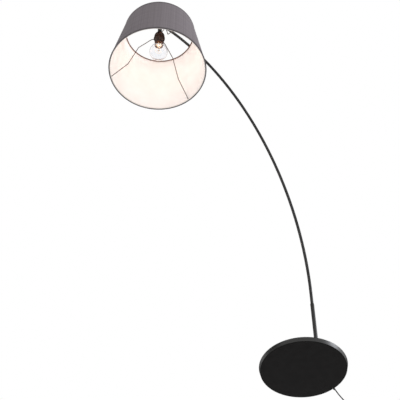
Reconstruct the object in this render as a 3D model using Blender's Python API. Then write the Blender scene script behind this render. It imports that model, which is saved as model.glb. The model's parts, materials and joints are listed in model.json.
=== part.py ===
"""Arc floor lamp: weighted round base, short pole, quarter-ellipse arc tube, tilting head and fabric shade.

Metres, +Z up. The origin is the centre of the base's underside. +X is the side that the arc leans to.
"""

import math

import bmesh
import bpy
from mathutils import Matrix, Vector

GAP = 0.0003  # air between pieces that touch
QUARTER_TURN = math.pi / 2
DRILL_TURN = math.radians(3.1)

# Base
BASE_RADIUS = 0.160
BASE_FOOT_RADIUS = 0.1570  # lower edge of the cover, where the wall has drawn in
BASE_HEIGHT = 0.0195
BASE_EDGE = 0.0035  # rounding of the cover's upper edge
COVER_WALL = 0.0012
COVER_LIFT = 0.0015  # the cover's lower edge above the floor
PAD_RADIUS = 0.1550
PAD_THICKNESS = 0.0030
WEIGHT_RADIUS = 0.1500
WEIGHT_BOTTOM = PAD_THICKNESS + GAP
WEIGHT_TOP = BASE_HEIGHT - COVER_WALL - GAP
RECESS_RADIUS = 0.0140  # pocket for the spigot's nut
RECESS_TOP = 0.0156

# Pole and spigot
POLE_X = -0.079
POLE_RADIUS = 0.0075
POLE_BORE = 0.0063
POLE_TOP = 0.3685
SPIGOT_RADIUS = 0.0060
SPIGOT_BORE = 0.0046
SPIGOT_BOTTOM = 0.0096
SPIGOT_TOP = 0.0500
SPIGOT_HOLE = 0.0065
SET_SCREW_Z = 0.3480
SET_SCREW_RADIUS = 0.0020

# Arc tube: straight in the pole, then a quarter ellipse that ends level over the shade
ARC_RADIUS = 0.0060
ARC_BORE = 0.0050
ARC_BOTTOM = 0.3135
ARC_SPRING = 0.4220  # height where the curve begins
ARC_REACH = 0.7710
ARC_TOP = 1.6845
ARC_STATIONS = 28
ARC_STRAIGHT = 0.0320  # the tube's end runs straight to the pivot from here

# Head: heights and distances from the tilt pivot, which is at the arc's far end
DRUM_RADIUS = 0.0090
DRUM_INNER = 0.0008  # each half starts this far from the middle plane
DRUM_OUTER = 0.0085
CHAMBER_RADIUS = 0.0062
CHAMBER_DEPTH = 0.0060
BOLT_RADIUS = 0.0020
BOSS_NEAR = 0.0105  # distance from the pivot where both bosses start, clear of the other half
ARM_BOSS_RADIUS = 0.0075
ARM_BOSS_END = 0.0300
TUBE_SOCKET_END = 0.0160  # the arc tube stops this far from the pivot
HEAD_BOSS_RADIUS = 0.0085
HEAD_BOSS_END = 0.0205
NIPPLE_SOCKET_END = 0.0130
LEAD_STOP = 0.0098  # both leads stop this far from the pivot
SLEEVE_RADIUS = 0.0095
SLEEVE_BORE = 0.0085
CAP_TOP = -0.0860
CAP_RADIUS = 0.0232
CAP_WALL = 0.0018
CAP_DOME = 0.0235  # height of the rounded part
FLANGE_TOP = -0.1165
FLANGE_BOTTOM = -0.1212
FLANGE_RADIUS = 0.0235
THREAD_RADIUS = 0.0200
HOLDER_BORE = 0.0165
MOUTH = -0.1765
CORE_TOP = -0.1105
CORE_BOTTOM = -0.1415
CORE_FLANGE = 0.0200
NIPPLE_RADIUS = 0.0050
NIPPLE_BORE = 0.0034
NIPPLE_BOTTOM = -0.0990
LEAD_RADIUS = 0.0023

# Bulb: heights from the globe's centre
GLOBE_DROP = -0.2325
GLOBE_RADIUS = 0.0400
GLASS_WALL = 0.0008
NECK_RADIUS = 0.0124
NECK_TOP = 0.0620
SCREW_CAP_RADIUS = 0.0132
SCREW_CAP_BOTTOM = 0.0540
SCREW_CAP_TOP = 0.0790
TIP_TOP = 0.0860

# Shade
SHADE_BOTTOM = 1.3100
SHADE_HEIGHT = 0.3040
SHADE_BOTTOM_RADIUS = 0.2100
SHADE_TOP_RADIUS = 0.1567
PANEL_SKIN = 0.0008  # thickness of the fabric, and of the liner behind it
RING_WIRE = 0.0022
ARM_WIRE = 0.0017
HUB_BORE = 0.0206
HUB_RADIUS = 0.0250
HUB_THICKNESS = 0.0020
HUB_BOTTOM = FLANGE_BOTTOM - GAP - HUB_THICKNESS  # from the tilt pivot
HUB_STUB = 0.0360  # the arms leave the hub level, as far as this radius
RING_HEIGHT = 0.0032  # of the lower ring's wire above the shade's lower edge
PANEL_START = 0.0009  # the skins stand this far above the trim's edge
TRIM_HEIGHT = 0.0090
TRIM_SKIN = 0.0006
SPIDER_TURN = math.radians(73.5)  # direction of the first spider arm
SPIDER_BEND = 0.0080
# spider arm: radius from the shade's axis, height above the shade's lower edge
SPIDER_ELBOWS = ((0.0930, 0.2025), (0.1340, 0.0830))

# Cord: diameter, and where it lies on the floor
CORD_RADIUS = 0.0023
GROOVE_TURN = math.radians(193.2)  # direction of the cable groove from the pole
BUSHING_Z = 0.0062
BUSHING_RADIUS = 0.0045
BUSHING_IN = 0.0670  # distances from the pole's axis along the groove
BUSHING_OUT = 0.0915
NECK_START = 0.0776
NECK_END = 0.0813
BOOT_TIP_RADIUS = 0.0031
NOTCH_RADIUS = 0.0040
NOTCH_START = 0.070
NOTCH_END = 0.090
CORD_TAIL = (
    (-0.1684, -0.0210, 0.0062),
    (-0.1730, -0.0224, 0.0054),
    (-0.1790, -0.0245, 0.0038),
    (-0.1870, -0.0276, 0.0025),
    (-0.1960, -0.0314, 0.0023),
    (-0.2120, -0.0377, 0.0023),
    (-0.2306, -0.0448, 0.0023),
    (-0.2610, -0.0563, 0.0023),
)
COIL_A_CENTRE = (-0.2672, -0.0894)
COIL_A_OUTER = 0.0288  # middle of the outermost turn
COIL_A_INNER = 0.0242
COIL_B_CENTRE = (-0.2084, -0.2329)
COIL_B_OUTER = 0.0330
COIL_B_INNER = 0.0192
CORD_LINK_A = (
    (-0.2879, -0.1160, 0.0070),
    (-0.2862, -0.1205, 0.0076),
    (-0.2845, -0.1250, 0.0081),
    (-0.2829, -0.1292, 0.0083),
)
CORD_LINK_B = (
    (-0.2551, -0.2028, 0.0083),
    (-0.2530, -0.2083, 0.0076),
    (-0.2500, -0.2162, 0.0045),
    (-0.2475, -0.2229, 0.0026),
    (-0.2461, -0.2266, 0.0023),
)
CORD_LINK_C = (
    (-0.1792, -0.2572, 0.0064),
    (-0.1740, -0.2552, 0.0058),
    (-0.1670, -0.2526, 0.0060),
    (-0.1600, -0.2500, 0.0066),
    (-0.1549, -0.2480, 0.00685),
)

# Foot switch
SWITCH_CENTRE = (-0.2690, -0.1660)
SWITCH_TURN = math.radians(290.7)
SWITCH_LENGTH = 0.0780
SWITCH_WIDTH = 0.0360
SWITCH_SPLIT = 0.0083  # height of the line between tray and cover
SWITCH_TOP = 0.0210
SWITCH_WALL = 0.0018
BUTTON_RADIUS = 0.0109
BUTTON_TOP = 0.0255

# Plug
PLUG_START = (-0.1546, -0.2479)
PLUG_TURN = math.radians(20.7)
PLUG_THICKNESS = 0.0137
PLUG_WIDTH = 0.0353
PLUG_LENGTH = 0.0370
PIN_RADIUS = 0.0020
PIN_LENGTH = 0.0190
PIN_SPACING = 0.0186


# ---- Tools ----


def finish(name, colour, roughness, metallic=0.0):
    """A plain material: sRGB hex colour, roughness and metallic value."""
    material = bpy.data.materials.new(name)
    material.use_nodes = True
    shader = material.node_tree.nodes["Principled BSDF"]
    channels = [int(colour[i : i + 2], 16) / 255 for i in (1, 3, 5)]
    linear = [c / 12.92 if c <= 0.04045 else ((c + 0.055) / 1.055) ** 2.4 for c in channels]
    shader.inputs["Base Color"].default_value = (*linear, 1.0)
    shader.inputs["Roughness"].default_value = roughness
    shader.inputs["Metallic"].default_value = metallic
    return material


def empty(name, location, parent=None):
    """An empty that carries the pieces of one body."""
    holder = bpy.data.objects.new(name, None)
    holder.location = location
    holder.parent = parent
    bpy.context.collection.objects.link(holder)
    return holder


def piece(name, bm, material, parent=None, location=(0, 0, 0), rotation=(0, 0, 0)):
    """Makes a named object of a bmesh, with its faces pointing out and its round parts smooth."""
    bmesh.ops.recalc_face_normals(bm, faces=bm.faces)
    mesh = bpy.data.meshes.new(name)
    bm.to_mesh(mesh)
    bm.free()
    mesh.materials.append(material)
    mesh.shade_smooth()
    mesh.set_sharp_from_angle(angle=math.radians(35))
    made = bpy.data.objects.new(name, mesh)
    made.parent = parent
    made.location = location
    made.rotation_euler = rotation
    bpy.context.collection.objects.link(made)
    return made


def turns(count, whole=2 * math.pi):
    """Evenly spaced angles; a part turn keeps its last one."""
    return [whole * k / count for k in range(count if whole == 2 * math.pi else count + 1)]


def turned(outline, segments=48):
    """Solid of revolution about Z of a closed outline of (radius, height) points."""
    bm = bmesh.new()
    rings = []
    for radius, height in outline:
        if radius < 1e-7:
            rings.append([bm.verts.new((0, 0, height))] * segments)
            continue
        spots = [(radius * math.cos(a), radius * math.sin(a), height) for a in turns(segments)]
        rings.append([bm.verts.new(spot) for spot in spots])
    for lower, upper in zip(rings, rings[1:] + rings[:1]):
        for k in range(segments):
            corners = [lower[k], lower[(k + 1) % segments], upper[(k + 1) % segments], upper[k]]
            corners = [v for i, v in enumerate(corners) if v not in corners[:i]]
            if len(corners) > 2:
                bm.faces.new(corners)
    return bm


def block(low, high):
    """A box between two corners."""
    bm = bmesh.new()
    bmesh.ops.create_cube(bm, size=1.0)
    for v in bm.verts:
        v.co = [low[i] + (v.co[i] + 0.5) * (high[i] - low[i]) for i in range(3)]
    return bm


def prism(outline, low, high):
    """A closed outline in the XY plane, drawn out along Z."""
    bm = bmesh.new()
    rows = [[bm.verts.new((x, y, z)) for x, y in outline] for z in (low, high)]
    bm.faces.new(rows[0])
    bm.faces.new(rows[1])
    for k in range(len(outline)):
        j = (k + 1) % len(outline)
        bm.faces.new([rows[0][k], rows[0][j], rows[1][j], rows[1][k]])
    return bm


def rod(radius, start, end, segments=24):
    """A plain round rod along Z."""
    return turned([(0, start), (radius, start), (radius, end), (0, end)], segments)


def drill(radius, start, end, segments=24):
    """A rod that cuts a hole, turned a little so that its corners miss the edges of the piece."""
    bm = rod(radius, start, end, segments)
    bmesh.ops.rotate(bm, verts=bm.verts, matrix=Matrix.Rotation(DRILL_TURN, 3, "Z"))
    return bm


def pipe(radius, bore, start, end, segments=24):
    """A plain round tube along Z."""
    return turned([(bore, start), (radius, start), (radius, end), (bore, end)], segments)


def arc_points(centre, radius, start, end, steps):
    """Points on a circle in the outline's plane, from one angle in degrees to another."""
    turn = [math.radians(start + (end - start) * k / steps) for k in range(steps + 1)]
    return [(centre[0] + radius * math.cos(a), centre[1] + radius * math.sin(a)) for a in turn]


def change(target, other, operation="DIFFERENCE"):
    """Cuts a piece with a tool body, or joins that body to it; the tool itself isn't part of the lamp."""
    other.hide_render = True
    other.display_type = "WIRE"
    modifier = target.modifiers.new(other.name, "BOOLEAN")
    modifier.operation = operation
    modifier.solver = "EXACT"
    modifier.object = other


def tool(name, bm, parent=None, location=(0, 0, 0), rotation=(0, 0, 0)):
    """A tool body for a Boolean."""
    return piece(name, bm, BLACK_STEEL, parent, location, rotation)


def smooth_route(points, spacing):
    """Evenly spaced points on a smooth curve through the given ones."""
    points = [Vector(p) for p in points]
    padded = [2 * points[0] - points[1], *points, 2 * points[-1] - points[-2]]
    fine = []
    for a, b, c, d in zip(padded, padded[1:], padded[2:], padded[3:]):
        for k in range(20):
            t = k / 20
            steady = 2 * b + (c - a) * t
            curved = (2 * a - 5 * b + 4 * c - d) * t**2 + (3 * b - a - 3 * c + d) * t**3
            fine.append(0.5 * (steady + curved))
    fine.append(points[-1])
    lengths = [0.0]
    for a, b in zip(fine, fine[1:]):
        lengths.append(lengths[-1] + (b - a).length)
    count = max(2, round(lengths[-1] / spacing))
    spaced = []
    i = 0
    for k in range(count + 1):
        wanted = lengths[-1] * k / count
        while i < len(fine) - 2 and lengths[i + 1] < wanted:
            i += 1
        step = lengths[i + 1] - lengths[i]
        spaced.append(fine[i].lerp(fine[i + 1], (wanted - lengths[i]) / step))
    return spaced


def wire(name, points, radius, material, parent=None, location=(0, 0, 0), rotation=(0, 0, 0), sides=2):
    """A round solid wire or cord along points: a curve with a bevel and filled caps."""
    curve = bpy.data.curves.new(name, "CURVE")
    curve.dimensions = "3D"
    curve.bevel_depth = radius
    curve.bevel_resolution = sides
    curve.use_fill_caps = True
    spline = curve.splines.new("POLY")
    spline.points.add(len(points) - 1)
    for target, point in zip(spline.points, points):
        target.co = (*point, 1.0)
    curve.materials.append(material)
    made = bpy.data.objects.new(name, curve)
    made.parent = parent
    made.location = location
    made.rotation_euler = rotation
    bpy.context.collection.objects.link(made)
    return made


def rounded_path(corners, bend, steps=5):
    """A path through corners, with an arc of the given radius at each inner one."""
    corners = [Vector(c) for c in corners]
    path = [corners[0]]
    for before, corner, after in zip(corners, corners[1:], corners[2:]):
        into = (corner - before).normalized()
        out = (after - corner).normalized()
        half = into.angle(out) / 2
        centre = corner + (out - into).normalized() * bend / math.cos(half)
        start = corner - into * bend * math.tan(half) - centre
        end = corner + out * bend * math.tan(half) - centre
        path += [centre + start.slerp(end, k / steps) * bend for k in range(steps + 1)]
    return [*path, corners[-1]]


def hollow_sweep(path, radius, bore, sides=12):
    """A tube along a path in the XZ plane."""
    bm = bmesh.new()
    rings = []
    for i, point in enumerate(path):
        along = (path[min(i + 1, len(path) - 1)] - path[max(i - 1, 0)]).normalized()
        across = Vector((along.z, 0.0, -along.x))
        row = []
        for size in (radius, bore):
            spokes = [across * math.cos(a) + Vector((0, math.sin(a), 0)) for a in turns(sides)]
            row.append([bm.verts.new(point + size * spoke) for spoke in spokes])
        rings.append(row)
    for k in range(sides):
        j = (k + 1) % sides
        for near, far in zip(rings, rings[1:]):
            bm.faces.new([near[0][k], near[0][j], far[0][j], far[0][k]])
            bm.faces.new([near[1][j], near[1][k], far[1][k], far[1][j]])
        for row in (rings[0], rings[-1]):
            bm.faces.new([row[0][k], row[0][j], row[1][j], row[1][k]])
    return bm


def hexagon_nut(across_flats, bore, thickness):
    """A hexagon nut, its lower face at height 0."""
    corner = across_flats / 2 / math.cos(math.radians(30))
    bm = bmesh.new()
    rows = []
    for height in (0.0, thickness):
        outer = [bm.verts.new((corner * math.cos(a), corner * math.sin(a), height)) for a in turns(6)]
        inner = [bm.verts.new((bore * math.cos(a), bore * math.sin(a), height)) for a in turns(24)]
        rows.append((outer, inner))
    for k in range(6):
        bm.faces.new([rows[0][0][k], rows[0][0][(k + 1) % 6], rows[1][0][(k + 1) % 6], rows[1][0][k]])
    for k in range(24):
        bm.faces.new([rows[0][1][k], rows[0][1][(k + 1) % 24], rows[1][1][(k + 1) % 24], rows[1][1][k]])
    for outer, inner in rows:
        for k in range(24):
            side, step = divmod(k, 4)
            bm.faces.new([inner[k], inner[(k + 1) % 24], outer[(side + (step > 1)) % 6]])
            if step == 1:
                bm.faces.new([inner[k + 1], outer[side], outer[(side + 1) % 6]])
    return bm


def slab(length, width, low, high, edge, top_edge=0.0):
    """A flat block with rounded upright corners, and a chamfer round its top if one is wanted."""
    bm = block((-length / 2, -width / 2, low), (length / 2, width / 2, high))
    upright = [e for e in bm.edges if abs(e.verts[0].co.z - e.verts[1].co.z) > 1e-6]
    bmesh.ops.bevel(bm, geom=upright, offset=edge, segments=5, profile=0.5, affect="EDGES")
    if top_edge:
        rim = [e for e in bm.edges if all(v.co.z > high - 1e-6 for v in e.verts)]
        bmesh.ops.bevel(bm, geom=rim, offset=top_edge, segments=3, profile=0.5, affect="EDGES")
    return bm


# ---- Start ----

for old in list(bpy.data.objects):
    bpy.data.objects.remove(old, do_unlink=True)

BLACK_STEEL = finish("black_powder_coat", "#232322", 0.45, 0.0)
PAD_FELT = finish("black_felt", "#1c1c1c", 0.95)
CAST_IRON = finish("cast_iron", "#4a4846", 0.7, 0.9)
ZINC = finish("zinc_plated_steel", "#b8b9b5", 0.35, 1.0)
BLACK_PLASTIC = finish("black_moulded_plastic", "#1b1a19", 0.4)
CORD_BLACK = finish("black_pvc_cord", "#26272a", 0.5)
CERAMIC = finish("white_ceramic", "#e8e4da", 0.3)
BRASS = finish("brass", "#b5904f", 0.3, 1.0)
WHITE_WIRE = finish("painted_wire", "#8f7d72", 0.5)
GREY_FABRIC = finish("grey_shade_fabric", "#77726f", 0.9)
WHITE_LINER = finish("white_liner", "#fbf3ec", 0.6)
GLASS = finish("clear_glass", "#f2f4f5", 0.05)
TUNGSTEN = finish("tungsten", "#9a948c", 0.4, 1.0)

stand = empty("stand", (0, 0, 0))
pole_foot = empty("pole_foot", (POLE_X, 0, 0), stand)
arm_axis = empty("arm_axis", (POLE_X, 0, 0), stand)
arm_end = empty("arm_end", (ARC_REACH, 0, ARC_TOP), arm_axis)
head_axis = empty("head_axis", (0, 0, 0), arm_end)
bulb_axis = empty("bulb_axis", (0, 0, GLOBE_DROP), head_axis)
shade_frame = empty("shade_frame", (0, 0, SHADE_BOTTOM - ARC_TOP), head_axis)
groove = empty("groove", (POLE_X, 0, BUSHING_Z), stand)
groove.rotation_euler = (0, QUARTER_TURN, GROOVE_TURN)
switch_frame = empty("switch_frame", (*SWITCH_CENTRE, 0), stand)
switch_frame.rotation_euler = (0, 0, SWITCH_TURN)
plug_frame = empty("plug_frame", (*PLUG_START, PLUG_THICKNESS / 2), stand)
plug_frame.rotation_euler = (0, 0, PLUG_TURN)


# ---- Base and pole ----


def base_cover():
    """Pressed steel cover with a rounded upper edge and a wall that draws in towards the floor."""
    rounding = (BASE_RADIUS - BASE_EDGE, BASE_HEIGHT - BASE_EDGE)
    outline = [(BASE_FOOT_RADIUS, COVER_LIFT)]
    outline += arc_points(rounding, BASE_EDGE, 0, 90, 5)
    outline += [(0, BASE_HEIGHT), (0, BASE_HEIGHT - COVER_WALL)]
    outline += arc_points(rounding, BASE_EDGE - COVER_WALL, 90, 0, 4)
    outline += [(BASE_FOOT_RADIUS - COVER_WALL, COVER_LIFT)]
    cover = piece("base_cover", turned(outline, 54), BLACK_STEEL, stand)
    change(cover, tool("cover_hole", drill(SPIGOT_HOLE, 0.010, 0.030), pole_foot))
    notch = arc_points((0, 0), NOTCH_RADIUS, 90, 270, 8)
    notch += [(BUSHING_Z, -NOTCH_RADIUS), (BUSHING_Z, NOTCH_RADIUS)]
    change(cover, tool("cover_notch", prism(notch, NOTCH_START, NOTCH_END), groove))


def base_weight():
    """Cast-iron disc with a pocket for the nut and a groove for the cable, both open to the floor side."""
    weight = piece("base_weight", rod(WEIGHT_RADIUS, WEIGHT_BOTTOM, WEIGHT_TOP, 54), CAST_IRON, stand)
    change(weight, tool("weight_pocket", drill(RECESS_RADIUS, 0, RECESS_TOP), pole_foot))
    change(weight, tool("weight_hole", drill(SPIGOT_HOLE, 0.010, 0.030), pole_foot))
    half = BUSHING_RADIUS + GAP
    change(weight, tool("weight_groove", block((-half, -half, 0), (0.010, half, NOTCH_END)), groove))


def base_pad():
    """Felt disc that the lamp stands on, notched where the cord's bushing sits."""
    edge = 0.0006
    outline = [(0, 0), (PAD_RADIUS - edge, 0), (PAD_RADIUS, edge)]
    outline += [(PAD_RADIUS, PAD_THICKNESS), (0, PAD_THICKNESS)]
    pad = piece("base_pad", turned(outline, 54), PAD_FELT, stand)
    half = BUSHING_RADIUS + GAP
    notch = block((-half, -half, BUSHING_IN - GAP), (0.010, half, NOTCH_END))
    change(pad, tool("pad_notch", notch, groove))


def pole_fixing():
    """Hollow threaded spigot with its washer and nut, which hold the pole on the base from below."""
    bore = SPIGOT_RADIUS + GAP
    piece("pole_spigot", pipe(SPIGOT_RADIUS, SPIGOT_BORE, SPIGOT_BOTTOM, SPIGOT_TOP), ZINC, pole_foot)
    piece("spigot_washer", pipe(0.0125, bore, 0.0141, RECESS_TOP - GAP), ZINC, pole_foot)
    piece("spigot_nut", hexagon_nut(0.019, bore, 0.0040), ZINC, pole_foot, (0, 0, 0.0098))


def pole_tube():
    """Short lower tube of the pole, with a tapped hole on its rear for the set screw."""
    lip = 0.0006
    foot = BASE_HEIGHT + GAP
    outline = [(POLE_BORE, foot), (POLE_RADIUS, foot), (POLE_RADIUS, POLE_TOP - lip)]
    outline += [(POLE_RADIUS - lip, POLE_TOP), (POLE_BORE, POLE_TOP)]
    pole = piece("pole_tube", turned(outline, 24), BLACK_STEEL, pole_foot)
    rear = (0, -QUARTER_TURN, 0)
    place = (0, 0, SET_SCREW_Z)
    change(pole, tool("set_screw_hole", drill(SET_SCREW_RADIUS + GAP, 0, 0.010, 12), pole_foot, place, rear))
    screw = rod(SET_SCREW_RADIUS, ARC_RADIUS + GAP, POLE_RADIUS + 0.0006, 12)
    piece("set_screw", screw, ZINC, pole_foot, place, rear)


def cord_bushing():
    """Moulded bushing in the cover's rim: a collar each side of the wall and a tapered boot outside."""
    neck = NOTCH_RADIUS - GAP
    hold = CORD_RADIUS + GAP
    outline = [(hold, BUSHING_IN), (BUSHING_RADIUS, BUSHING_IN)]
    outline += [(BUSHING_RADIUS, NECK_START), (neck, NECK_START), (neck, NECK_END)]
    outline += [(BUSHING_RADIUS, NECK_END), (BUSHING_RADIUS - 0.0004, NECK_END + 0.0025)]
    outline += [(BOOT_TIP_RADIUS, BUSHING_OUT), (hold, BUSHING_OUT)]
    piece("cord_bushing", turned(outline, 16), BLACK_PLASTIC, groove)


def base_lead():
    """Mains lead inside the base and the pole, from the bushing's mouth to the arc tube's lower end."""
    along = Vector((math.cos(GROOVE_TURN), math.sin(GROOVE_TURN), 0))
    corner = Vector((0, 0, BUSHING_Z))
    start = along * (BUSHING_OUT - 0.0005) + corner
    path = rounded_path([start, corner, Vector((0, 0, ARC_BOTTOM - GAP))], 0.0060)
    wire("base_lead", path, LEAD_RADIUS, CORD_BLACK, pole_foot)


# ---- Arm ----


def arc_point(turn):
    """A point of the quarter ellipse; the turn goes from 0 at its foot to a quarter turn at the pivot."""
    height = ARC_SPRING + (ARC_TOP - ARC_SPRING) * math.sin(turn)
    return Vector((ARC_REACH * (1 - math.cos(turn)), 0, height))


def arc_path():
    """The arc tube's centre line: upright in the pole, then the ellipse, then straight to the pivot."""
    last = math.acos(ARC_STRAIGHT / ARC_REACH)
    curve = [arc_point(last * k / ARC_STATIONS) for k in range(ARC_STATIONS + 1)]
    return [Vector((0, 0, ARC_BOTTOM)), *curve, arc_point(QUARTER_TURN)]


def cut_back(path, amount):
    """The path with its straight far end made shorter by the given length."""
    end = path[-1] + (path[-2] - path[-1]).normalized() * amount
    return [*path[:-1], end]


def arc_tube():
    """Bent steel tube that plugs into the pole and carries the head, with the lead inside it."""
    path = cut_back(arc_path(), TUBE_SOCKET_END + GAP)
    piece("arc_tube", hollow_sweep(path, ARC_RADIUS, ARC_BORE), BLACK_STEEL, arm_axis)
    wire("arc_lead", cut_back(arc_path(), LEAD_STOP), LEAD_RADIUS, CORD_BLACK, arm_axis)


def half_knuckle(name, boss, socket, parent, rotation):
    """Half of the knuckle: a hollow drum half on local +Y, with a round boss along local +X.

    The boss is its radius and where it ends, the socket its radius and where it starts.
    """
    boss_radius, boss_end = boss
    socket_radius, socket_start = socket
    frame = empty(name + "_frame", (0, 0, 0), parent)
    frame.rotation_euler = rotation
    sideways = (QUARTER_TURN, 0, 0)
    along = (0, QUARTER_TURN, 0)
    half = piece(name, rod(DRUM_RADIUS, -DRUM_OUTER, -DRUM_INNER, 24), BLACK_STEEL, frame, rotation=sideways)
    stub = rod(boss_radius, BOSS_NEAR, boss_end)
    change(half, tool(name + "_boss", stub, frame, rotation=along), "UNION")
    side = boss_radius - 0.0015
    bridge = block((0.001, DRUM_INNER, -side), (BOSS_NEAR + 0.003, side, side))
    change(half, tool(name + "_bridge", bridge, frame), "UNION")
    chamber = drill(CHAMBER_RADIUS, -DRUM_INNER - CHAMBER_DEPTH, 0, 16)
    change(half, tool(name + "_chamber", chamber, frame, rotation=sideways))
    bolt_hole = drill(BOLT_RADIUS + GAP, -0.012, 0.012, 16)
    change(half, tool(name + "_bolt_hole", bolt_hole, frame, rotation=sideways))
    hollow = drill(socket_radius, socket_start, 0.040, 16)
    change(half, tool(name + "_socket", hollow, frame, rotation=along))
    passage = drill(LEAD_RADIUS + GAP, 0.003, 0.020, 12)
    change(half, tool(name + "_passage", passage, frame, rotation=along))


def knuckle():
    """Friction knuckle: upper half on the tube, lower half over the shade, and bolt, washer and nut."""
    straight = arc_path()[-1] - arc_path()[-2]
    lean = math.atan2(straight.z, straight.x)
    boss = (ARM_BOSS_RADIUS, ARM_BOSS_END)
    socket = (ARC_RADIUS + GAP, TUBE_SOCKET_END)
    half_knuckle("knuckle_upper", boss, socket, arm_end, (0, 2 * QUARTER_TURN - lean, 0))
    boss = (HEAD_BOSS_RADIUS, HEAD_BOSS_END)
    socket = (NIPPLE_RADIUS + GAP, NIPPLE_SOCKET_END)
    half_knuckle("knuckle_lower", boss, socket, head_axis, (2 * QUARTER_TURN, QUARTER_TURN, 0))
    sideways = (QUARTER_TURN, 0, 0)
    face = DRUM_OUTER + GAP
    head_edge = -face - 0.0024
    outline = [(0, head_edge), (0.0028, head_edge), (0.0038, head_edge + 0.0010), (0.0038, -face)]
    outline += [(BOLT_RADIUS, -face), (BOLT_RADIUS, face + 0.0042), (0, face + 0.0042)]
    piece("knuckle_bolt", turned(outline, 20), ZINC, arm_end, rotation=sideways)
    nut = hexagon_nut(0.0075, BOLT_RADIUS + GAP, 0.0032)
    piece("knuckle_nut", nut, ZINC, arm_end, (0, -face, 0), sideways)
    washer = pipe(0.0085, 0.0064, -DRUM_INNER + GAP, DRUM_INNER - GAP, 24)
    piece("knuckle_washer", washer, BLACK_PLASTIC, arm_end, rotation=sideways)


# ---- Head ----


def head_stem():
    """Upright sleeve between knuckle and lampholder, clamped by a hollow threaded nipple and its nut."""
    sleeve = pipe(SLEEVE_RADIUS, SLEEVE_BORE, CAP_TOP + GAP, -HEAD_BOSS_END - GAP)
    piece("head_sleeve", sleeve, BLACK_STEEL, head_axis)
    nipple = pipe(NIPPLE_RADIUS, NIPPLE_BORE, NIPPLE_BOTTOM, -NIPPLE_SOCKET_END - GAP)
    piece("head_nipple", nipple, ZINC, head_axis)
    nut = hexagon_nut(0.013, NIPPLE_RADIUS + GAP, 0.0035)
    piece("nipple_nut", nut, ZINC, head_axis, (0, 0, CAP_TOP - CAP_WALL - 2 * GAP - 0.0035))
    wire("head_lead", [(0, 0, -LEAD_STOP), (0, 0, CORE_TOP + GAP)], LEAD_RADIUS, CORD_BLACK, head_axis)


def dome(shoulder, edge, top, height):
    """Outline of a quarter-ellipse dome from its flat top out to its edge."""
    turn = [QUARTER_TURN * k / 5 for k in range(6)]
    return [(shoulder + (edge - shoulder) * math.sin(a), top - height * (1 - math.cos(a))) for a in turn]


def lampholder():
    """Lampholder: domed cap, ceramic core, threaded skirt, screw shell and centre contact."""
    hole = NIPPLE_RADIUS + GAP
    inner = dome(SLEEVE_RADIUS - CAP_WALL, CAP_RADIUS - CAP_WALL, CAP_TOP - CAP_WALL, CAP_DOME - CAP_WALL)
    outline = [(hole, CAP_TOP), *dome(SLEEVE_RADIUS, CAP_RADIUS, CAP_TOP, CAP_DOME)]
    outline += [(CAP_RADIUS, FLANGE_TOP + GAP), (CAP_RADIUS - CAP_WALL, FLANGE_TOP + GAP)]
    outline += [*reversed(inner), (hole, CAP_TOP - CAP_WALL)]
    piece("holder_cap", turned(outline, 32), BLACK_PLASTIC, head_axis)
    core = HOLDER_BORE - GAP
    ledge = FLANGE_TOP + GAP
    outline = [(0, CORE_BOTTOM), (core, CORE_BOTTOM), (core, ledge)]
    outline += [(CORE_FLANGE, ledge), (CORE_FLANGE, CORE_TOP), (0, CORE_TOP)]
    piece("holder_core", turned(outline, 32), CERAMIC, head_axis)
    lip = THREAD_RADIUS + 0.0003
    outline = [(HOLDER_BORE, MOUTH), (lip, MOUTH), (lip, MOUTH + 0.0030), (THREAD_RADIUS, MOUTH + 0.0034)]
    outline += [(THREAD_RADIUS, FLANGE_BOTTOM), (FLANGE_RADIUS, FLANGE_BOTTOM), (FLANGE_RADIUS, FLANGE_TOP)]
    outline += [(HOLDER_BORE, FLANGE_TOP)]
    piece("holder_skirt", turned(outline, 32), BLACK_PLASTIC, head_axis)
    shell = pipe(0.0146, 0.0138, MOUTH + 0.0030, CORE_BOTTOM - GAP, 32)
    piece("holder_shell", shell, BRASS, head_axis)
    contact = rod(0.0035, GLOBE_DROP + TIP_TOP + 0.0004, CORE_BOTTOM - GAP, 16)
    piece("holder_contact", contact, BRASS, head_axis)


def shade_ring_nut():
    """Threaded ring that clamps the shade's hub against the lampholder's flange."""
    top = HUB_BOTTOM - GAP
    outline = [(HUB_BORE, top - 0.0100), (FLANGE_RADIUS, top - 0.0100), (0.0238, top - 0.0092)]
    outline += [(0.0238, top - 0.0008), (FLANGE_RADIUS, top), (HUB_BORE, top)]
    piece("shade_ring_nut", turned(outline, 32), BLACK_PLASTIC, head_axis)


# ---- Bulb ----


def glass_outline(inset):
    """Outline of the globe and its neck from the bottom upwards, moved in by the wall for the inner side."""
    radius = GLOBE_RADIUS - inset
    top_angle = 48
    points = arc_points((0, 0), radius, -90, top_angle, 10)
    start = points[-1]
    lean = math.radians(top_angle)
    pull = (start[0] - 0.010 * math.sin(lean), start[1] + 0.010 * math.cos(lean))
    neck = NECK_RADIUS - inset
    ends = (start, pull, (neck + 0.0006, 0.0440), (neck, 0.0530))
    for k in range(1, 5):
        t = k / 4
        share = ((1 - t) ** 3, 3 * t * (1 - t) ** 2, 3 * t**2 * (1 - t), t**3)
        points.append(tuple(sum(w * end[i] for w, end in zip(share, ends)) for i in (0, 1)))
    return [(0, -radius), *points[1:], (neck, NECK_TOP)]


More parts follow.
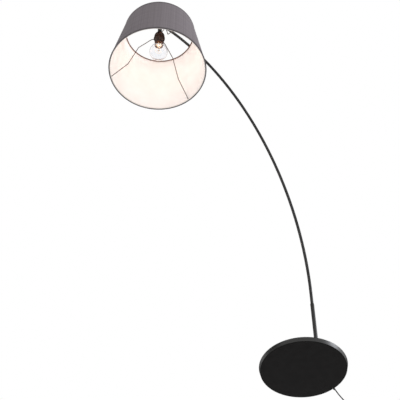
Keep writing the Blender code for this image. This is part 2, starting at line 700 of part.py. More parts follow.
def bulb():
    """Clear globe bulb: glass, screw cap, insulator with its tip contact, stem and filament."""
    outline = [*glass_outline(0), *reversed(glass_outline(GLASS_WALL))]
    piece("bulb_glass", turned(outline, 20), GLASS, bulb_axis)
    bore = NECK_RADIUS + GAP
    outline = [(bore, SCREW_CAP_BOTTOM), (SCREW_CAP_RADIUS, SCREW_CAP_BOTTOM), (SCREW_CAP_RADIUS, 0.0765)]
    outline += [(0.0085, SCREW_CAP_TOP), (0.0076, SCREW_CAP_TOP), (0.0076, 0.0784), (bore, 0.0760)]
    piece("bulb_cap", turned(outline, 32), BRASS, bulb_axis)
    outline = [(0, 0.0770), (0.0072, 0.0770), (0.0072, 0.0800), (0.0048, 0.0835), (0, 0.0835)]
    piece("bulb_insulator", turned(outline, 20), BLACK_PLASTIC, bulb_axis)
    piece("bulb_tip", rod(0.0045, 0.0835 + GAP, TIP_TOP, 16), BRASS, bulb_axis)
    outline = [(0, 0.0090), (0.0040, 0.0096), (0.0040, 0.0120), (0.0030, 0.0142), (0.0030, 0.0400)]
    outline += [(0.0050, 0.0520), (0.0108, 0.0596), (0.0108, 0.0610), (0, 0.0610)]
    piece("bulb_stem", turned(outline, 16), GLASS, bulb_axis)
    round_stem = [(0.0150 * math.cos(a), -0.0150 * math.sin(a), 0.0110) for a in turns(12, math.pi)]
    path = [(0.0045, 0, 0.0330), *round_stem, (-0.0045, 0, 0.0330)]
    wire("bulb_filament", path, 0.0005, TUNGSTEN, bulb_axis)


# ---- Shade ----


def wall_radius(height):
    """Outer radius of the shade's fabric at a height above its lower edge."""
    return SHADE_BOTTOM_RADIUS + (SHADE_TOP_RADIUS - SHADE_BOTTOM_RADIUS) * height / SHADE_HEIGHT


def cone_shell(name, inset, material):
    """One skin of the shade's wall, its outer face the given distance inside the fabric's."""
    ends = (PANEL_START, SHADE_HEIGHT - PANEL_START)
    outline = [(wall_radius(h) - inset, h) for h in ends]
    outline += [(wall_radius(h) - inset - PANEL_SKIN, h) for h in reversed(ends)]
    piece(name, turned(outline, 48), material, shade_frame)


def edge_trim(name, edge, upward):
    """Folded tape along one edge of the shade: a leg outside the fabric and a web under the edge."""
    leg = edge + upward * TRIM_HEIGHT
    web = edge + upward * TRIM_SKIN
    outside = GAP + TRIM_SKIN
    outline = [(wall_radius(edge) - 0.0055, edge), (wall_radius(edge) + outside, edge)]
    outline += [(wall_radius(leg) + outside, leg), (wall_radius(leg) + GAP, leg)]
    outline += [(wall_radius(web) + GAP, web), (wall_radius(edge) - 0.0055, web)]
    piece(name, turned(outline, 48), GREY_FABRIC, shade_frame)


def ring_centre(height):
    """Radius of a shade ring's wire, which lies just inside the liner."""
    return wall_radius(height) - 2 * PANEL_SKIN - 2 * GAP - RING_WIRE - 0.0003


def shade_ring(name, height):
    """Steel wire ring inside one edge of the shade."""
    outline = arc_points((ring_centre(height), height), RING_WIRE, 0, 300, 5)
    piece(name, turned(outline, 48), WHITE_WIRE, shade_frame)


def spider():
    """Hub and three bent wire arms that hold the shade's lower ring."""
    hub_low = HUB_BOTTOM - (SHADE_BOTTOM - ARC_TOP)
    hub = pipe(HUB_RADIUS, HUB_BORE, hub_low, hub_low + HUB_THICKNESS, 32)
    piece("spider_hub", hub, WHITE_WIRE, shade_frame)
    level = hub_low + HUB_THICKNESS / 2
    ring = Vector((ring_centre(RING_HEIGHT), 0, RING_HEIGHT))
    elbows = [Vector((r, 0, z)) for r, z in SPIDER_ELBOWS]
    end = ring - (ring - elbows[-1]).normalized() * (RING_WIRE + GAP)
    corners = [Vector((HUB_RADIUS + GAP, 0, level)), Vector((HUB_STUB, 0, level)), *elbows, end]
    path = rounded_path(corners, SPIDER_BEND)
    for k in range(3):
        turn = (0, 0, SPIDER_TURN + 2 * math.pi * k / 3)
        wire(f"spider_arm_{k + 1}", path, ARM_WIRE, WHITE_WIRE, shade_frame, rotation=turn)


# ---- Cord, foot switch and plug ----


def coil_ring(name, centre, outer, inner):
    """The space that one flat coil of cord fills: two layers of turns."""
    height = 4 * CORD_RADIUS
    edge = CORD_RADIUS
    outline = arc_points((outer, edge), edge, -90, 0, 2)
    outline += arc_points((outer, height - edge), edge, 0, 90, 2)
    outline += arc_points((inner, height - edge), edge, 90, 180, 2)
    outline += arc_points((inner, edge), edge, 180, 270, 2)
    piece(name, turned(outline, 24), CORD_BLACK, stand, (*centre, 0))


def cord():
    """The cord's plain solids: its stretches over the floor and the two coils."""
    for name, route in (
        ("cord_tail", CORD_TAIL),
        ("cord_link_a", CORD_LINK_A),
        ("cord_link_b", CORD_LINK_B),
        ("cord_link_c", CORD_LINK_C),
    ):
        wire(name, smooth_route(route, 5 * CORD_RADIUS), CORD_RADIUS, CORD_BLACK, stand)
    coil_ring("cord_coil_a", COIL_A_CENTRE, COIL_A_OUTER, COIL_A_INNER)
    coil_ring("cord_coil_b", COIL_B_CENTRE, COIL_B_OUTER, COIL_B_INNER)


def foot_switch():
    """Foot switch on the cord: tray, cover, contact block and a round button that is stepped on."""
    entry = drill(CORD_RADIUS + GAP, -SWITCH_LENGTH, SWITCH_LENGTH, 12)
    along = (0, QUARTER_TURN, 0)
    entries = tool("switch_entries", entry, switch_frame, (0, 0, SWITCH_SPLIT), along)
    inner = (SWITCH_LENGTH - 2 * SWITCH_WALL, SWITCH_WIDTH - 2 * SWITCH_WALL)
    tub = slab(SWITCH_LENGTH, SWITCH_WIDTH, 0, SWITCH_SPLIT - GAP, 0.009)
    tray = piece("switch_tray", tub, BLACK_PLASTIC, switch_frame)
    change(tray, tool("tray_hollow", slab(*inner, SWITCH_WALL, 0.030, 0.0075), switch_frame))
    change(tray, entries)
    shell = slab(SWITCH_LENGTH, SWITCH_WIDTH, SWITCH_SPLIT, SWITCH_TOP, 0.009, 0.0035)
    cover = piece("switch_cover", shell, BLACK_PLASTIC, switch_frame)
    change(cover, tool("cover_hollow", slab(*inner, -0.010, SWITCH_TOP - SWITCH_WALL, 0.0075), switch_frame))
    change(cover, tool("button_hole", drill(BUTTON_RADIUS + GAP, 0, 0.030), switch_frame))
    change(cover, entries)
    contact = block((-0.012, -0.008, SWITCH_WALL + GAP), (0.012, 0.008, 0.0136))
    piece("switch_contact", contact, CERAMIC, switch_frame)
    flange = 0.0128
    outline = [(0, 0.0172), (flange, 0.0172), (flange, 0.0188), (BUTTON_RADIUS, 0.0188)]
    edge = 0.0012
    outline += [(BUTTON_RADIUS, BUTTON_TOP - edge), (BUTTON_RADIUS - edge, BUTTON_TOP)]
    outline.append((0, BUTTON_TOP + 0.0004))
    piece("switch_button", turned(outline, 32), BLACK_PLASTIC, switch_frame)


def plug():
    """Flat two-pin plug lying on its side on the floor."""
    half = PLUG_WIDTH / 2
    upper = [(0, 0.0045), (0.0085, 0.0050), (0.0190, half - 0.0035), (0.0230, half), (PLUG_LENGTH, half)]
    outline = upper + [(x, -y) for x, y in reversed(upper)]
    bm = prism(outline, -PLUG_THICKNESS / 2, PLUG_THICKNESS / 2)
    rim = [e for e in bm.edges if abs(e.verts[0].co.z - e.verts[1].co.z) < 1e-6]
    bmesh.ops.bevel(bm, geom=rim, offset=0.0020, segments=3, profile=0.5, affect="EDGES")
    piece("plug_body", bm, BLACK_PLASTIC, plug_frame)
    for side, y in (("left", PIN_SPACING / 2), ("right", -PIN_SPACING / 2)):
        start = PLUG_LENGTH + GAP
        tip = start + PIN_LENGTH
        outline = [(0, start), (PIN_RADIUS, start), (PIN_RADIUS, tip - 0.0015), (0.0008, tip), (0, tip)]
        piece("plug_pin_" + side, turned(outline, 16), BRASS, plug_frame, (0, y, 0), (0, QUARTER_TURN, 0))


base_cover()
base_weight()
base_pad()
pole_fixing()
pole_tube()
cord_bushing()
base_lead()
arc_tube()
knuckle()
head_stem()
lampholder()
shade_ring_nut()
bulb()
cone_shell("shade_fabric", 0, GREY_FABRIC)
cone_shell("shade_liner", PANEL_SKIN + GAP, WHITE_LINER)
edge_trim("trim_bottom", 0, 1)
edge_trim("trim_top", SHADE_HEIGHT, -1)
shade_ring("shade_ring_bottom", RING_HEIGHT)
shade_ring("shade_ring_top", SHADE_HEIGHT - RING_HEIGHT)
spider()
cord()
foot_switch()
plug()
bpy.context.view_layer.update()
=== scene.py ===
import json
import math

import bmesh
import bpy
from mathutils import Matrix, Vector


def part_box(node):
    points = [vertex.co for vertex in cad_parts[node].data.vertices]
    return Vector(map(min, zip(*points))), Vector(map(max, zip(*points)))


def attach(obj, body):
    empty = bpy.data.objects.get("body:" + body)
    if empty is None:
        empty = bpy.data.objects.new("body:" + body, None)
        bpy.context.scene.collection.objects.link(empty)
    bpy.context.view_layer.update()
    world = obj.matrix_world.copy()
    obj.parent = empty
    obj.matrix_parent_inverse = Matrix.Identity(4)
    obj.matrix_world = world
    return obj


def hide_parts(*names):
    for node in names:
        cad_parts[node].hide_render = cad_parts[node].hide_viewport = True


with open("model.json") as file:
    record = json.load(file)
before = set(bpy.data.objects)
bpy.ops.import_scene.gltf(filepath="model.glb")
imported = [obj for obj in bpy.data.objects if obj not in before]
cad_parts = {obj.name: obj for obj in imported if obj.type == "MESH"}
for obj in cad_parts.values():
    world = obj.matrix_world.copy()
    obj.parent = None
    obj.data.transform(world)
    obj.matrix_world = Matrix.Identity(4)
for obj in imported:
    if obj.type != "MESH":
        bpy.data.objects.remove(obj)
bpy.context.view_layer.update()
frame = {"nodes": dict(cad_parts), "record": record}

# Arc floor lamp: the finished look of each piece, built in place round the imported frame.
# Metres, +Z up; the origin is the middle of the base's underside and +X is the side the arc leans to.

GAP = 0.0003  # air between pieces that touch
TURN = 2 * math.pi

# Places that the record and the CAD pieces give
JOINTS = {joint["name"]: joint for joint in frame["record"]["behaviour"]["joints"]}
POLE = Vector((JOINTS["arc_swing"]["pos_m"][0], 0, 0))
PIVOT = Vector(JOINTS["head_tilt"]["pos_m"])
HEAD_AXIS = Matrix.Translation((PIVOT.x, PIVOT.y, 0))


def low(node):
    """Lowest corner of a CAD piece."""
    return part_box(node)[0]


def high(node):
    """Highest corner of a CAD piece."""
    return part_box(node)[1]


# ---- Materials ----


def linear(colour):
    """An sRGB hex colour as linear red, green, blue and alpha."""
    channels = [int(colour[i : i + 2], 16) / 255 for i in (1, 3, 5)]
    return (*[c / 12.92 if c <= 0.04045 else ((c + 0.055) / 1.055) ** 2.4 for c in channels], 1.0)


def add(tree, kind, inputs=None, **settings):
    """Adds a node with its settings; an input takes a value or another node's output."""
    made = tree.nodes.new(kind)
    for name, value in settings.items():
        setattr(made, name, value)
    for name, value in (inputs or {}).items():
        socket = made.inputs[name]
        if isinstance(value, bpy.types.NodeSocket):
            tree.links.new(value, socket)
        else:
            socket.default_value = value
    return made


def blank(name, **sockets):
    """A new material, its node tree and its shader, with constants set on the shader's sockets."""
    material = bpy.data.materials.new(name)
    material.use_nodes = True
    shader = material.node_tree.nodes["Principled BSDF"]
    for label, value in sockets.items():
        shader.inputs[label.replace("_", " ")].default_value = value
    return material, material.node_tree, shader


def grained(name, colours, roughness, grain, depth, cloud=0.03, stretch=(1, 1, 1), uv=False, **sockets):
    """A surface with a fine grain in its height and soft clouds in its colour and gloss.

    Grain, depth and cloud are sizes in metres; stretch lengthens the grain along X, Y or Z.
    """
    material, tree, shader = blank(name, **sockets)
    place = add(tree, "ShaderNodeTexCoord").outputs["UV" if uv else "Object"]
    scale = tuple(1 / s for s in stretch)
    along = add(tree, "ShaderNodeMapping", {"Vector": place, "Scale": scale}).outputs["Vector"]
    fine = add(tree, "ShaderNodeTexNoise", {"Vector": along, "Scale": 1 / grain, "Detail": 3.0})
    soft = add(tree, "ShaderNodeTexNoise", {"Vector": along, "Scale": 1 / cloud, "Detail": 2.0})
    both = add(tree, "ShaderNodeMath", {0: fine.outputs["Fac"], 1: soft.outputs["Fac"]}, operation="MULTIPLY")
    spread = add(tree, "ShaderNodeMapRange", {"Value": both.outputs[0], "From Min": 0.12, "From Max": 0.40})
    blend = add(tree, "ShaderNodeMix", {"Factor": spread.outputs[0]}, data_type="RGBA")
    blend.inputs[6].default_value = linear(colours[0])
    blend.inputs[7].default_value = linear(colours[1])
    gloss = add(tree, "ShaderNodeMapRange", {"Value": soft.outputs["Fac"], "From Min": 0.3, "From Max": 0.7})
    gloss.inputs["To Min"].default_value = roughness[0]
    gloss.inputs["To Max"].default_value = roughness[1]
    bump = add(tree, "ShaderNodeBump", {"Height": fine.outputs["Fac"], "Strength": 0.5, "Distance": depth})
    tree.links.new(blend.outputs[2], shader.inputs["Base Color"])
    tree.links.new(gloss.outputs[0], shader.inputs["Roughness"])
    tree.links.new(bump.outputs["Normal"], shader.inputs["Normal"])
    return material


def woven(name, colours, thread, depth, slub):
    """Plain-woven cloth on the piece's own UV map, which is in metres along the warp and the weft."""
    material, tree, shader = blank(name, Sheen_Weight=0.06, Sheen_Roughness=0.5, Specular_IOR_Level=0.2)
    place = add(tree, "ShaderNodeTexCoord").outputs["UV"]
    across = add(tree, "ShaderNodeSeparateXYZ", {"Vector": place})
    waves = []
    for axis in (0, 1):
        turns = {0: across.outputs[axis], 1: math.pi / thread}
        phase = add(tree, "ShaderNodeMath", turns, operation="MULTIPLY")
        waves.append(add(tree, "ShaderNodeMath", {0: phase.outputs[0]}, operation="SINE").outputs[0])
    crossing = add(tree, "ShaderNodeMath", {0: waves[0], 1: waves[1]}, operation="MULTIPLY")
    streaks = []
    for scale in ((1 / slub, 0.6, 1), (3.0, 1 / slub, 1)):
        along = add(tree, "ShaderNodeMapping", {"Vector": place, "Scale": scale})
        where = {"Vector": along.outputs["Vector"], "Scale": 1.0, "Detail": 4.0}
        streaks.append(add(tree, "ShaderNodeTexNoise", where).outputs["Fac"])
    slubs = add(tree, "ShaderNodeMath", {0: streaks[0], 1: streaks[1]}, operation="ADD")
    weave = add(tree, "ShaderNodeMath", {0: crossing.outputs[0], 1: 0.05, 2: slubs.outputs[0]})
    weave.operation = "MULTIPLY_ADD"
    spread = add(tree, "ShaderNodeMapRange", {"Value": weave.outputs[0], "From Min": 0.6, "From Max": 1.4})
    blend = add(tree, "ShaderNodeMix", {"Factor": spread.outputs[0]}, data_type="RGBA")
    blend.inputs[6].default_value = linear(colours[0])
    blend.inputs[7].default_value = linear(colours[1])
    fuzz = add(tree, "ShaderNodeMapRange", {"Value": slubs.outputs[0], "To Min": 0.82, "To Max": 0.95})
    bump = add(tree, "ShaderNodeBump", {"Height": weave.outputs[0], "Strength": 0.6, "Distance": depth})
    tree.links.new(blend.outputs[2], shader.inputs["Base Color"])
    tree.links.new(fuzz.outputs[0], shader.inputs["Roughness"])
    tree.links.new(bump.outputs["Normal"], shader.inputs["Normal"])
    return material


def clear_glass(name, tint, haze):
    """Thin blown glass: clear, with a trace of dust that softens its reflections."""
    material, tree, shader = blank(name, Transmission_Weight=1.0, IOR=1.45)
    shader.inputs["Base Color"].default_value = linear(tint)
    place = add(tree, "ShaderNodeTexCoord").outputs["Object"]
    dust = add(tree, "ShaderNodeTexNoise", {"Vector": place, "Scale": 90.0, "Detail": 5.0})
    film = add(tree, "ShaderNodeMapRange", {"Value": dust.outputs["Fac"], "From Min": 0.45, "From Max": 0.75})
    film.inputs["To Max"].default_value = haze
    tree.links.new(film.outputs[0], shader.inputs["Roughness"])
    return material


# Polyester powder coat, sprayed and baked: satin black with the dimples of the melted powder
POWDER_COAT = grained("powder_coat_black", ("#171716", "#21201f"), (0.32, 0.44), 0.0007, 0.00005)
# Grey iron, cast in sand and left raw: dark, dull and grainy
CAST_IRON = grained("cast_iron_raw", ("#333333", "#474441"), (0.6, 0.8), 0.0009, 0.0002, Metallic=0.8)
# Needled polyester felt: flat black fibres that scatter nearly all the light
FELT = grained("needle_felt_black", ("#171616", "#1e1d1d"), (0.9, 0.98), 0.0008, 0.0002,
               Specular_IOR_Level=0.12)
# Steel plated with bright zinc: a bluish silver with fine turning marks
ZINC = grained("zinc_plate", ("#9fa2a4", "#c2c5c7"), (0.25, 0.4), 0.0004, 0.00002, 0.004, Metallic=1.0)
# Injection-moulded ABS with a spark-eroded grain: matte black
ABS = grained("abs_moulded_black", ("#161617", "#212122"), (0.45, 0.6), 0.0005, 0.00005, 0.012)
# Phenolic resin, moulded and polished by its die: brown-black with a soft gloss
PHENOLIC = grained("phenolic_brown_black", ("#22140f", "#3a231a"), (0.24, 0.34), 0.0006, 0.00001, 0.008,
                   Specular_IOR_Level=0.4)
# Steatite, pressed and fired, unglazed: chalky cream
STEATITE = grained("steatite_cream", ("#ddd6c8", "#efe9dd"), (0.6, 0.75), 0.0005, 0.00004, 0.01)
# Drawn brass sheet: warm yellow metal, dulled by handling
BRASS = grained("brass_sheet", ("#bf9d62", "#e2c690"), (0.22, 0.42), 0.0005, 0.00001, 0.006, Metallic=1.0)
# Stoved lacquer over steel wire: warm brown-grey, a little glossy
LACQUER = grained("wire_lacquer_taupe", ("#392c27", "#4b3d36"), (0.35, 0.5), 0.0006, 0.00002, 0.01)
# White styrene sheet laminated behind the cloth: warm white with the cloth's texture pressed through
STYRENE = grained("styrene_liner_white", ("#f5f2f0", "#fcfaf9"), (0.5, 0.62), 0.0012, 0.00005, 0.05)
# Flexible PVC sheath, extruded: matte black with faint lines along it
PVC = grained("pvc_sheath_black", ("#161617", "#222324"), (0.42, 0.55), 0.0004, 0.00003, 0.01,
              stretch=(1, 14, 1), uv=True)
# Vitrite, the black glass insulator of a screw cap
VITRITE = grained("vitrite_black", ("#12121a", "#1e1e2a"), (0.12, 0.2), 0.001, 0.00001, 0.01)
# Solder bead: dull grey metal
SOLDER = grained("solder_bead", ("#8c8c8a", "#b0b0ad"), (0.35, 0.5), 0.0005, 0.00003, 0.002, Metallic=1.0)
# Plain-woven polycotton in warm grey; the real thread spacing of 0.5 mm is drawn at 1 mm so that it shows
CLOTH = woven("polycotton_warm_grey", ("#625b5f", "#7a7377"), 0.0010, 0.00005, 0.006)
# The same cloth cut as a folded tape, coloured darker than the wall's cloth
TAPE = woven("polycotton_tape_grey", ("#4f4a4d", "#635d60"), 0.0009, 0.00010, 0.004)
# The tape's turned-under web and half of its fold, nearly black: painted shade under the shade's edge
PAINTED_SHADE_TAPE = woven("tape_painted_shade_dark_grey", ("#262324", "#363233"), 0.0009, 0.00006, 0.004)
# Reddish-brown stoved lacquer on the shade's upper ring; its redder, lighter tone than the arms' wire is
# painted warm light from the bulb
WARM_LIT_RING_LACQUER = grained("ring_lacquer_painted_warm_light", ("#5b392f", "#764f42"), (0.35, 0.5), 0.0006, 0.00002, 0.01)
# Bias-cut white cotton tape, rolled round the lower ring
HEM_TAPE = woven("cotton_hem_tape_white", ("#ddd6ce", "#f3eee8"), 0.0009, 0.00010, 0.004)
# Soda-lime glass, blown
GLASS = clear_glass("blown_glass_clear", "#f9fafc", 0.04)


def glowing_wire():
    """Tungsten filament, drawn and coiled: warm where it glows and uneven along its length."""
    material, tree, shader = blank("tungsten_filament", Metallic=1.0)
    place = add(tree, "ShaderNodeTexCoord").outputs["Object"]
    coil = add(tree, "ShaderNodeTexWave", {"Vector": place, "Scale": 900.0}, bands_direction="X")
    blend = add(tree, "ShaderNodeMix", {"Factor": coil.outputs["Fac"]}, data_type="RGBA")
    blend.inputs[6].default_value = linear("#5a5350")
    blend.inputs[7].default_value = linear("#8d8580")
    tree.links.new(blend.outputs[2], shader.inputs["Base Color"])
    shader.inputs["Roughness"].default_value = 0.45
    shader.inputs["Emission Color"].default_value = linear("#ffd2a0")
    shader.inputs["Emission Strength"].default_value = 1.6
    return material


TUNGSTEN = glowing_wire()

# The finish of each material slot in the record
FINISHES = {
    "black_coat": POWDER_COAT,
    "cast_iron": CAST_IRON,
    "felt": FELT,
    "zinc": ZINC,
    "black_plastic": ABS,
    "holder_plastic": PHENOLIC,
    "cord": PVC,
    "ceramic": STEATITE,
    "brass": BRASS,
    "frame_wire": LACQUER,
    "shade_cloth": CLOTH,
    "trim_tape": TAPE,
    "liner": STYRENE,
    "glass": GLASS,
    "insulator": VITRITE,
    "solder": SOLDER,
    "tungsten": TUNGSTEN,
}

# ---- Shapes ----


def ring_points(count, phase=0.0):
    """Angles evenly round a circle."""
    return [phase + TURN * k / count for k in range(count)]


def arc_points(centre, radius, start, end, steps):
    """Points on a circle in an outline's plane, from one angle in degrees to another."""
    angles = [math.radians(start + (end - start) * k / steps) for k in range(steps + 1)]
    return [(centre[0] + radius * math.cos(a), centre[1] + radius * math.sin(a)) for a in angles]


def eased(outline, radius, steps=3):
    """A closed (radius, height) outline with its corners rounded; points on the axis stay sharp."""
    made = []
    count = len(outline)
    for i, point in enumerate(outline):
        before, corner, after = (Vector(outline[(i + k) % count]) for k in (-1, 0, 1))
        back = before - corner
        ahead = after - corner
        straight = back.length < 1e-9 or ahead.length < 1e-9 or back.angle(-ahead) < math.radians(20)
        if point[0] < 1e-7 or straight:
            made.append(tuple(corner))
            continue
        reach = min(radius, back.length * 0.45, ahead.length * 0.45)
        start = corner + back.normalized() * reach
        end = corner + ahead.normalized() * reach
        for k in range(steps + 1):
            t = k / steps
            made.append(tuple(start * (1 - t) ** 2 + corner * 2 * t * (1 - t) + end * t**2))
    return made


def skinned(bm, rows, spot=None):
    """Faces between neighbouring rows of corners, each row closed; spot gives their place in the UV map."""
    faces = []
    for i, (near, far) in enumerate(zip(rows, rows[1:])):
        for k in range(len(near)):
            j = (k + 1) % len(near)
            corners = list(dict.fromkeys((near[k], near[j], far[j], far[k])))
            if len(corners) < 3:
                continue
            faces.append(bm.faces.new(corners))
            if spot:
                for loop, step in zip(faces[-1].loops, ((k, i), (k + 1, i), (k + 1, i + 1), (k, i + 1))):
                    loop[bm.loops.layers.uv.active].uv = spot(*step)
    return faces


def turned(outline, segments=64):
    """Solid of revolution about Z of a closed outline of (radius, height) points."""
    bm = bmesh.new()
    rings = []
    for radius, height in outline:
        if radius < 1e-7:
            rings.append([bm.verts.new((0, 0, height))] * segments)
            continue
        spots = [(radius * math.cos(a), radius * math.sin(a), height) for a in ring_points(segments)]
        rings.append([bm.verts.new(spot) for spot in spots])
    skinned(bm, [*rings, rings[0]])
    return bm


def pipe(radius, bore, start, end, edge=0.0002, segments=48):
    """A round tube along Z with eased edges."""
    return turned(eased([(bore, start), (radius, start), (radius, end), (bore, end)], edge), segments)


def rod(radius, start, end, edge=0.0002, segments=48):
    """A round rod along Z with eased edges."""
    return turned(eased([(0, start), (radius, start), (radius, end), (0, end)], edge), segments)


def cutter(radius, start, end, segments):
    """A rod along Z with sharp edges, for cutting a hole; six segments cut a hexagon socket."""
    return turned([(0, start), (radius, start), (radius, end), (0, end)], segments)


def swept(path, radius, sides=12, closed=False):
    """A round wire or sheath along points, with a UV map in metres: round it and along it."""
    path = [Vector(p) for p in path]
    count = len(path)
    bm = bmesh.new()
    bm.loops.layers.uv.new("UVMap")
    radii = radius if isinstance(radius, list) else [radius] * count
    rings = []
    length = [0.0]
    side = None
    for i, point in enumerate(path):
        ahead = path[(i + 1) % count] if closed or i < count - 1 else point
        behind = path[i - 1] if closed or i else point
        along = (ahead - behind).normalized()
        if side is None:
            side = along.orthogonal().normalized()
        side = (side - along * side.dot(along)).normalized()
        other = along.cross(side)
        spokes = [side * math.cos(a) + other * math.sin(a) for a in ring_points(sides)]
        rings.append([bm.verts.new(point + s * radii[i]) for s in spokes])
        if i:
            length.append(length[-1] + (point - path[i - 1]).length)
    length.append(length[-1] + (path[0] - path[-1]).length)
    skinned(bm, [*rings, rings[0]] if closed else rings,
            lambda turn, step: (TURN * radii[step % count] * turn / sides, length[step]))
    if not closed:
        bm.faces.new(list(reversed(rings[0])))
        bm.faces.new(rings[-1])
    return bm


def bent(corners, bend, steps=8):
    """A path through corners, with an arc of the given radius at each inner one."""
    corners = [Vector(c) for c in corners]
    path = [corners[0]]
    for before, corner, after in zip(corners, corners[1:], corners[2:]):
        into = (corner - before).normalized()
        out = (after - corner).normalized()
        half = into.angle(out) / 2
        centre = corner + (out - into).normalized() * bend / math.cos(half)
        start = corner - into * bend * math.tan(half) - centre
        end = corner + out * bend * math.tan(half) - centre
        path += [centre + start.slerp(end, k / steps) * bend for k in range(steps + 1)]
    return [*path, corners[-1]]


def frame_at(origin, turn=(0, 0, 0)):
    """A place and a turn (radians about X, then Y, then Z) as one matrix."""
    return Matrix.Translation(origin) @ Matrix.Rotation(turn[2], 4, "Z") @ Matrix.Rotation(
        turn[1], 4, "Y"
    ) @ Matrix.Rotation(turn[0], 4, "X")


def as_object(name, bm, place=None):
    """A bmesh as an object at the origin, its place in its mesh and its faces outward."""
    if place is not None:
        bm.transform(place)
    bmesh.ops.recalc_face_normals(bm, faces=bm.faces)
    mesh = bpy.data.meshes.new(name)
    bm.to_mesh(mesh)
    bm.free()
    made = bpy.data.objects.new(name, mesh)
    bpy.context.scene.collection.objects.link(made)
    return made


def fitted(made, body, slot, *replaced, sharp=40, material=None):
    """Finishes a piece: its slot's material or another, smooth shading, its body, and what it stands for."""
    made.data.materials.clear()
    made.data.materials.append(material or FINISHES[slot])
    made.data.shade_smooth()
    made.data.set_sharp_from_angle(angle=math.radians(sharp))
    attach(made, body)
    if replaced:
        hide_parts(*replaced)
    return made


def piece(name, bm, body, slot, *replaced, place=None, material=None):
    """A finished piece straight from a bmesh."""
    return fitted(as_object(name, bm, place), body, slot, *replaced, material=material)


def carved(made, *cutters, operation="DIFFERENCE"):
    """Cuts bodies away from a piece, or joins them to it, and keeps the plain mesh."""
    for cutter in cutters:
        modifier = made.modifiers.new("cut", "BOOLEAN")
        modifier.operation = operation
        modifier.solver = "EXACT"
        modifier.object = cutter
    mesh = bpy.data.meshes.new_from_object(made.evaluated_get(bpy.context.evaluated_depsgraph_get()))
    mesh.name = made.name
    made.modifiers.clear()
    made.data = mesh
    for used in cutters:
        bpy.data.objects.remove(used)
    return made


def grown(name, sizes, build):
    """Runs a geometry node tree with named inputs and gives its result as a plain mesh object."""
    tree = bpy.data.node_groups.new(name, "GeometryNodeTree")
    tree.interface.new_socket("Geometry", in_out="OUTPUT", socket_type="NodeSocketGeometry")
    labels = {}
    for label in sizes:
        socket = tree.interface.new_socket(label, in_out="INPUT", socket_type="NodeSocketFloat")
        labels[label] = socket.identifier
    geometry = build(tree, add(tree, "NodeGroupInput").outputs)
    real = add(tree, "GeometryNodeRealizeInstances", {"Geometry": geometry})
    painted = add(tree, "GeometryNodeSetMaterial", {"Geometry": real.outputs[0], "Material": POWDER_COAT})
    add(tree, "NodeGroupOutput", {"Geometry": painted.outputs[0]})
    made = bpy.data.objects.new(name, bpy.data.meshes.new(name + "_seed"))
    bpy.context.scene.collection.objects.link(made)
    modifier = made.modifiers.new(name, "NODES")
    modifier.node_group = tree
    for label, value in sizes.items():
        modifier[labels[label]] = value
    bpy.context.view_layer.update()
    mesh = bpy.data.meshes.new_from_object(made.evaluated_get(bpy.context.evaluated_depsgraph_get()))
    mesh.name = name
    made.modifiers.clear()
    made.data = mesh
    bpy.data.node_groups.remove(tree)
    return made


# ---- Camera, light and floor ----


def place_camera():
    """The view from low on the arc's far side, looking up along the lamp."""
    place = Vector((1.98581, 2.07807, -2.34783))
    heading = Vector((-0.59099, -0.80668, 0))
    pitch = math.radians(48.9896)
    roll = 0.00307
    forward = heading * math.cos(pitch) + Vector((0, 0, math.sin(pitch)))
    right = heading.cross(Vector((0, 0, 1)))
    top = right.cross(forward)
    rolled = right * math.cos(roll) + top * math.sin(roll)
    camera = bpy.data.cameras.new("camera")
    camera.lens = 91.364
    camera.sensor_width = 36.0
    camera.clip_end = 50.0
    holder = bpy.data.objects.new("camera", camera)
    turn = Matrix((rolled, rolled.cross(forward), -forward)).transposed()
    holder.matrix_world = Matrix.Translation(place) @ turn.to_4x4()
    bpy.context.scene.collection.objects.link(holder)
    bpy.context.scene.camera = holder


def soft_box(name, place, target, size, power, colour="#ffffff"):
    """A square soft light that faces a target."""
    data = bpy.data.lights.new(name, "AREA")
    data.size = size
    data.energy = power
    data.color = linear(colour)[:3]
    holder = bpy.data.objects.new(name, data)
    aim = (Vector(target) - Vector(place)).to_track_quat("-Z", "Y").to_matrix().to_4x4()
    holder.matrix_world = Matrix.Translation(Vector(place)) @ aim
    bpy.context.scene.collection.objects.link(holder)


def dark_card(name, place, target, size, shades=False):
    """A black studio card out of the picture, seen only in reflections unless it also shades the lamp."""
    material, tree, shader = blank(name, Roughness=0.95)
    fibres = add(tree, "ShaderNodeTexNoise", {"Scale": 40.0})
    blend = add(tree, "ShaderNodeMix", {"Factor": fibres.outputs["Fac"]}, data_type="RGBA")
    blend.inputs[6].default_value = linear("#0c0c0c")
    blend.inputs[7].default_value = linear("#141414")
    tree.links.new(blend.outputs[2], shader.inputs["Base Color"])
    bm = bmesh.new()
    bmesh.ops.create_grid(bm, x_segments=1, y_segments=1, size=size / 2)
    aim = (Vector(target) - Vector(place)).to_track_quat("Z", "Y").to_matrix().to_4x4()
    bm.transform(Matrix.Translation(Vector(place)) @ aim)
    card = as_object(name, bm)
    card.data.materials.append(material)
    card.visible_camera = False
    card.visible_transmission = False
    card.visible_diffuse = shades
    card.visible_shadow = shades


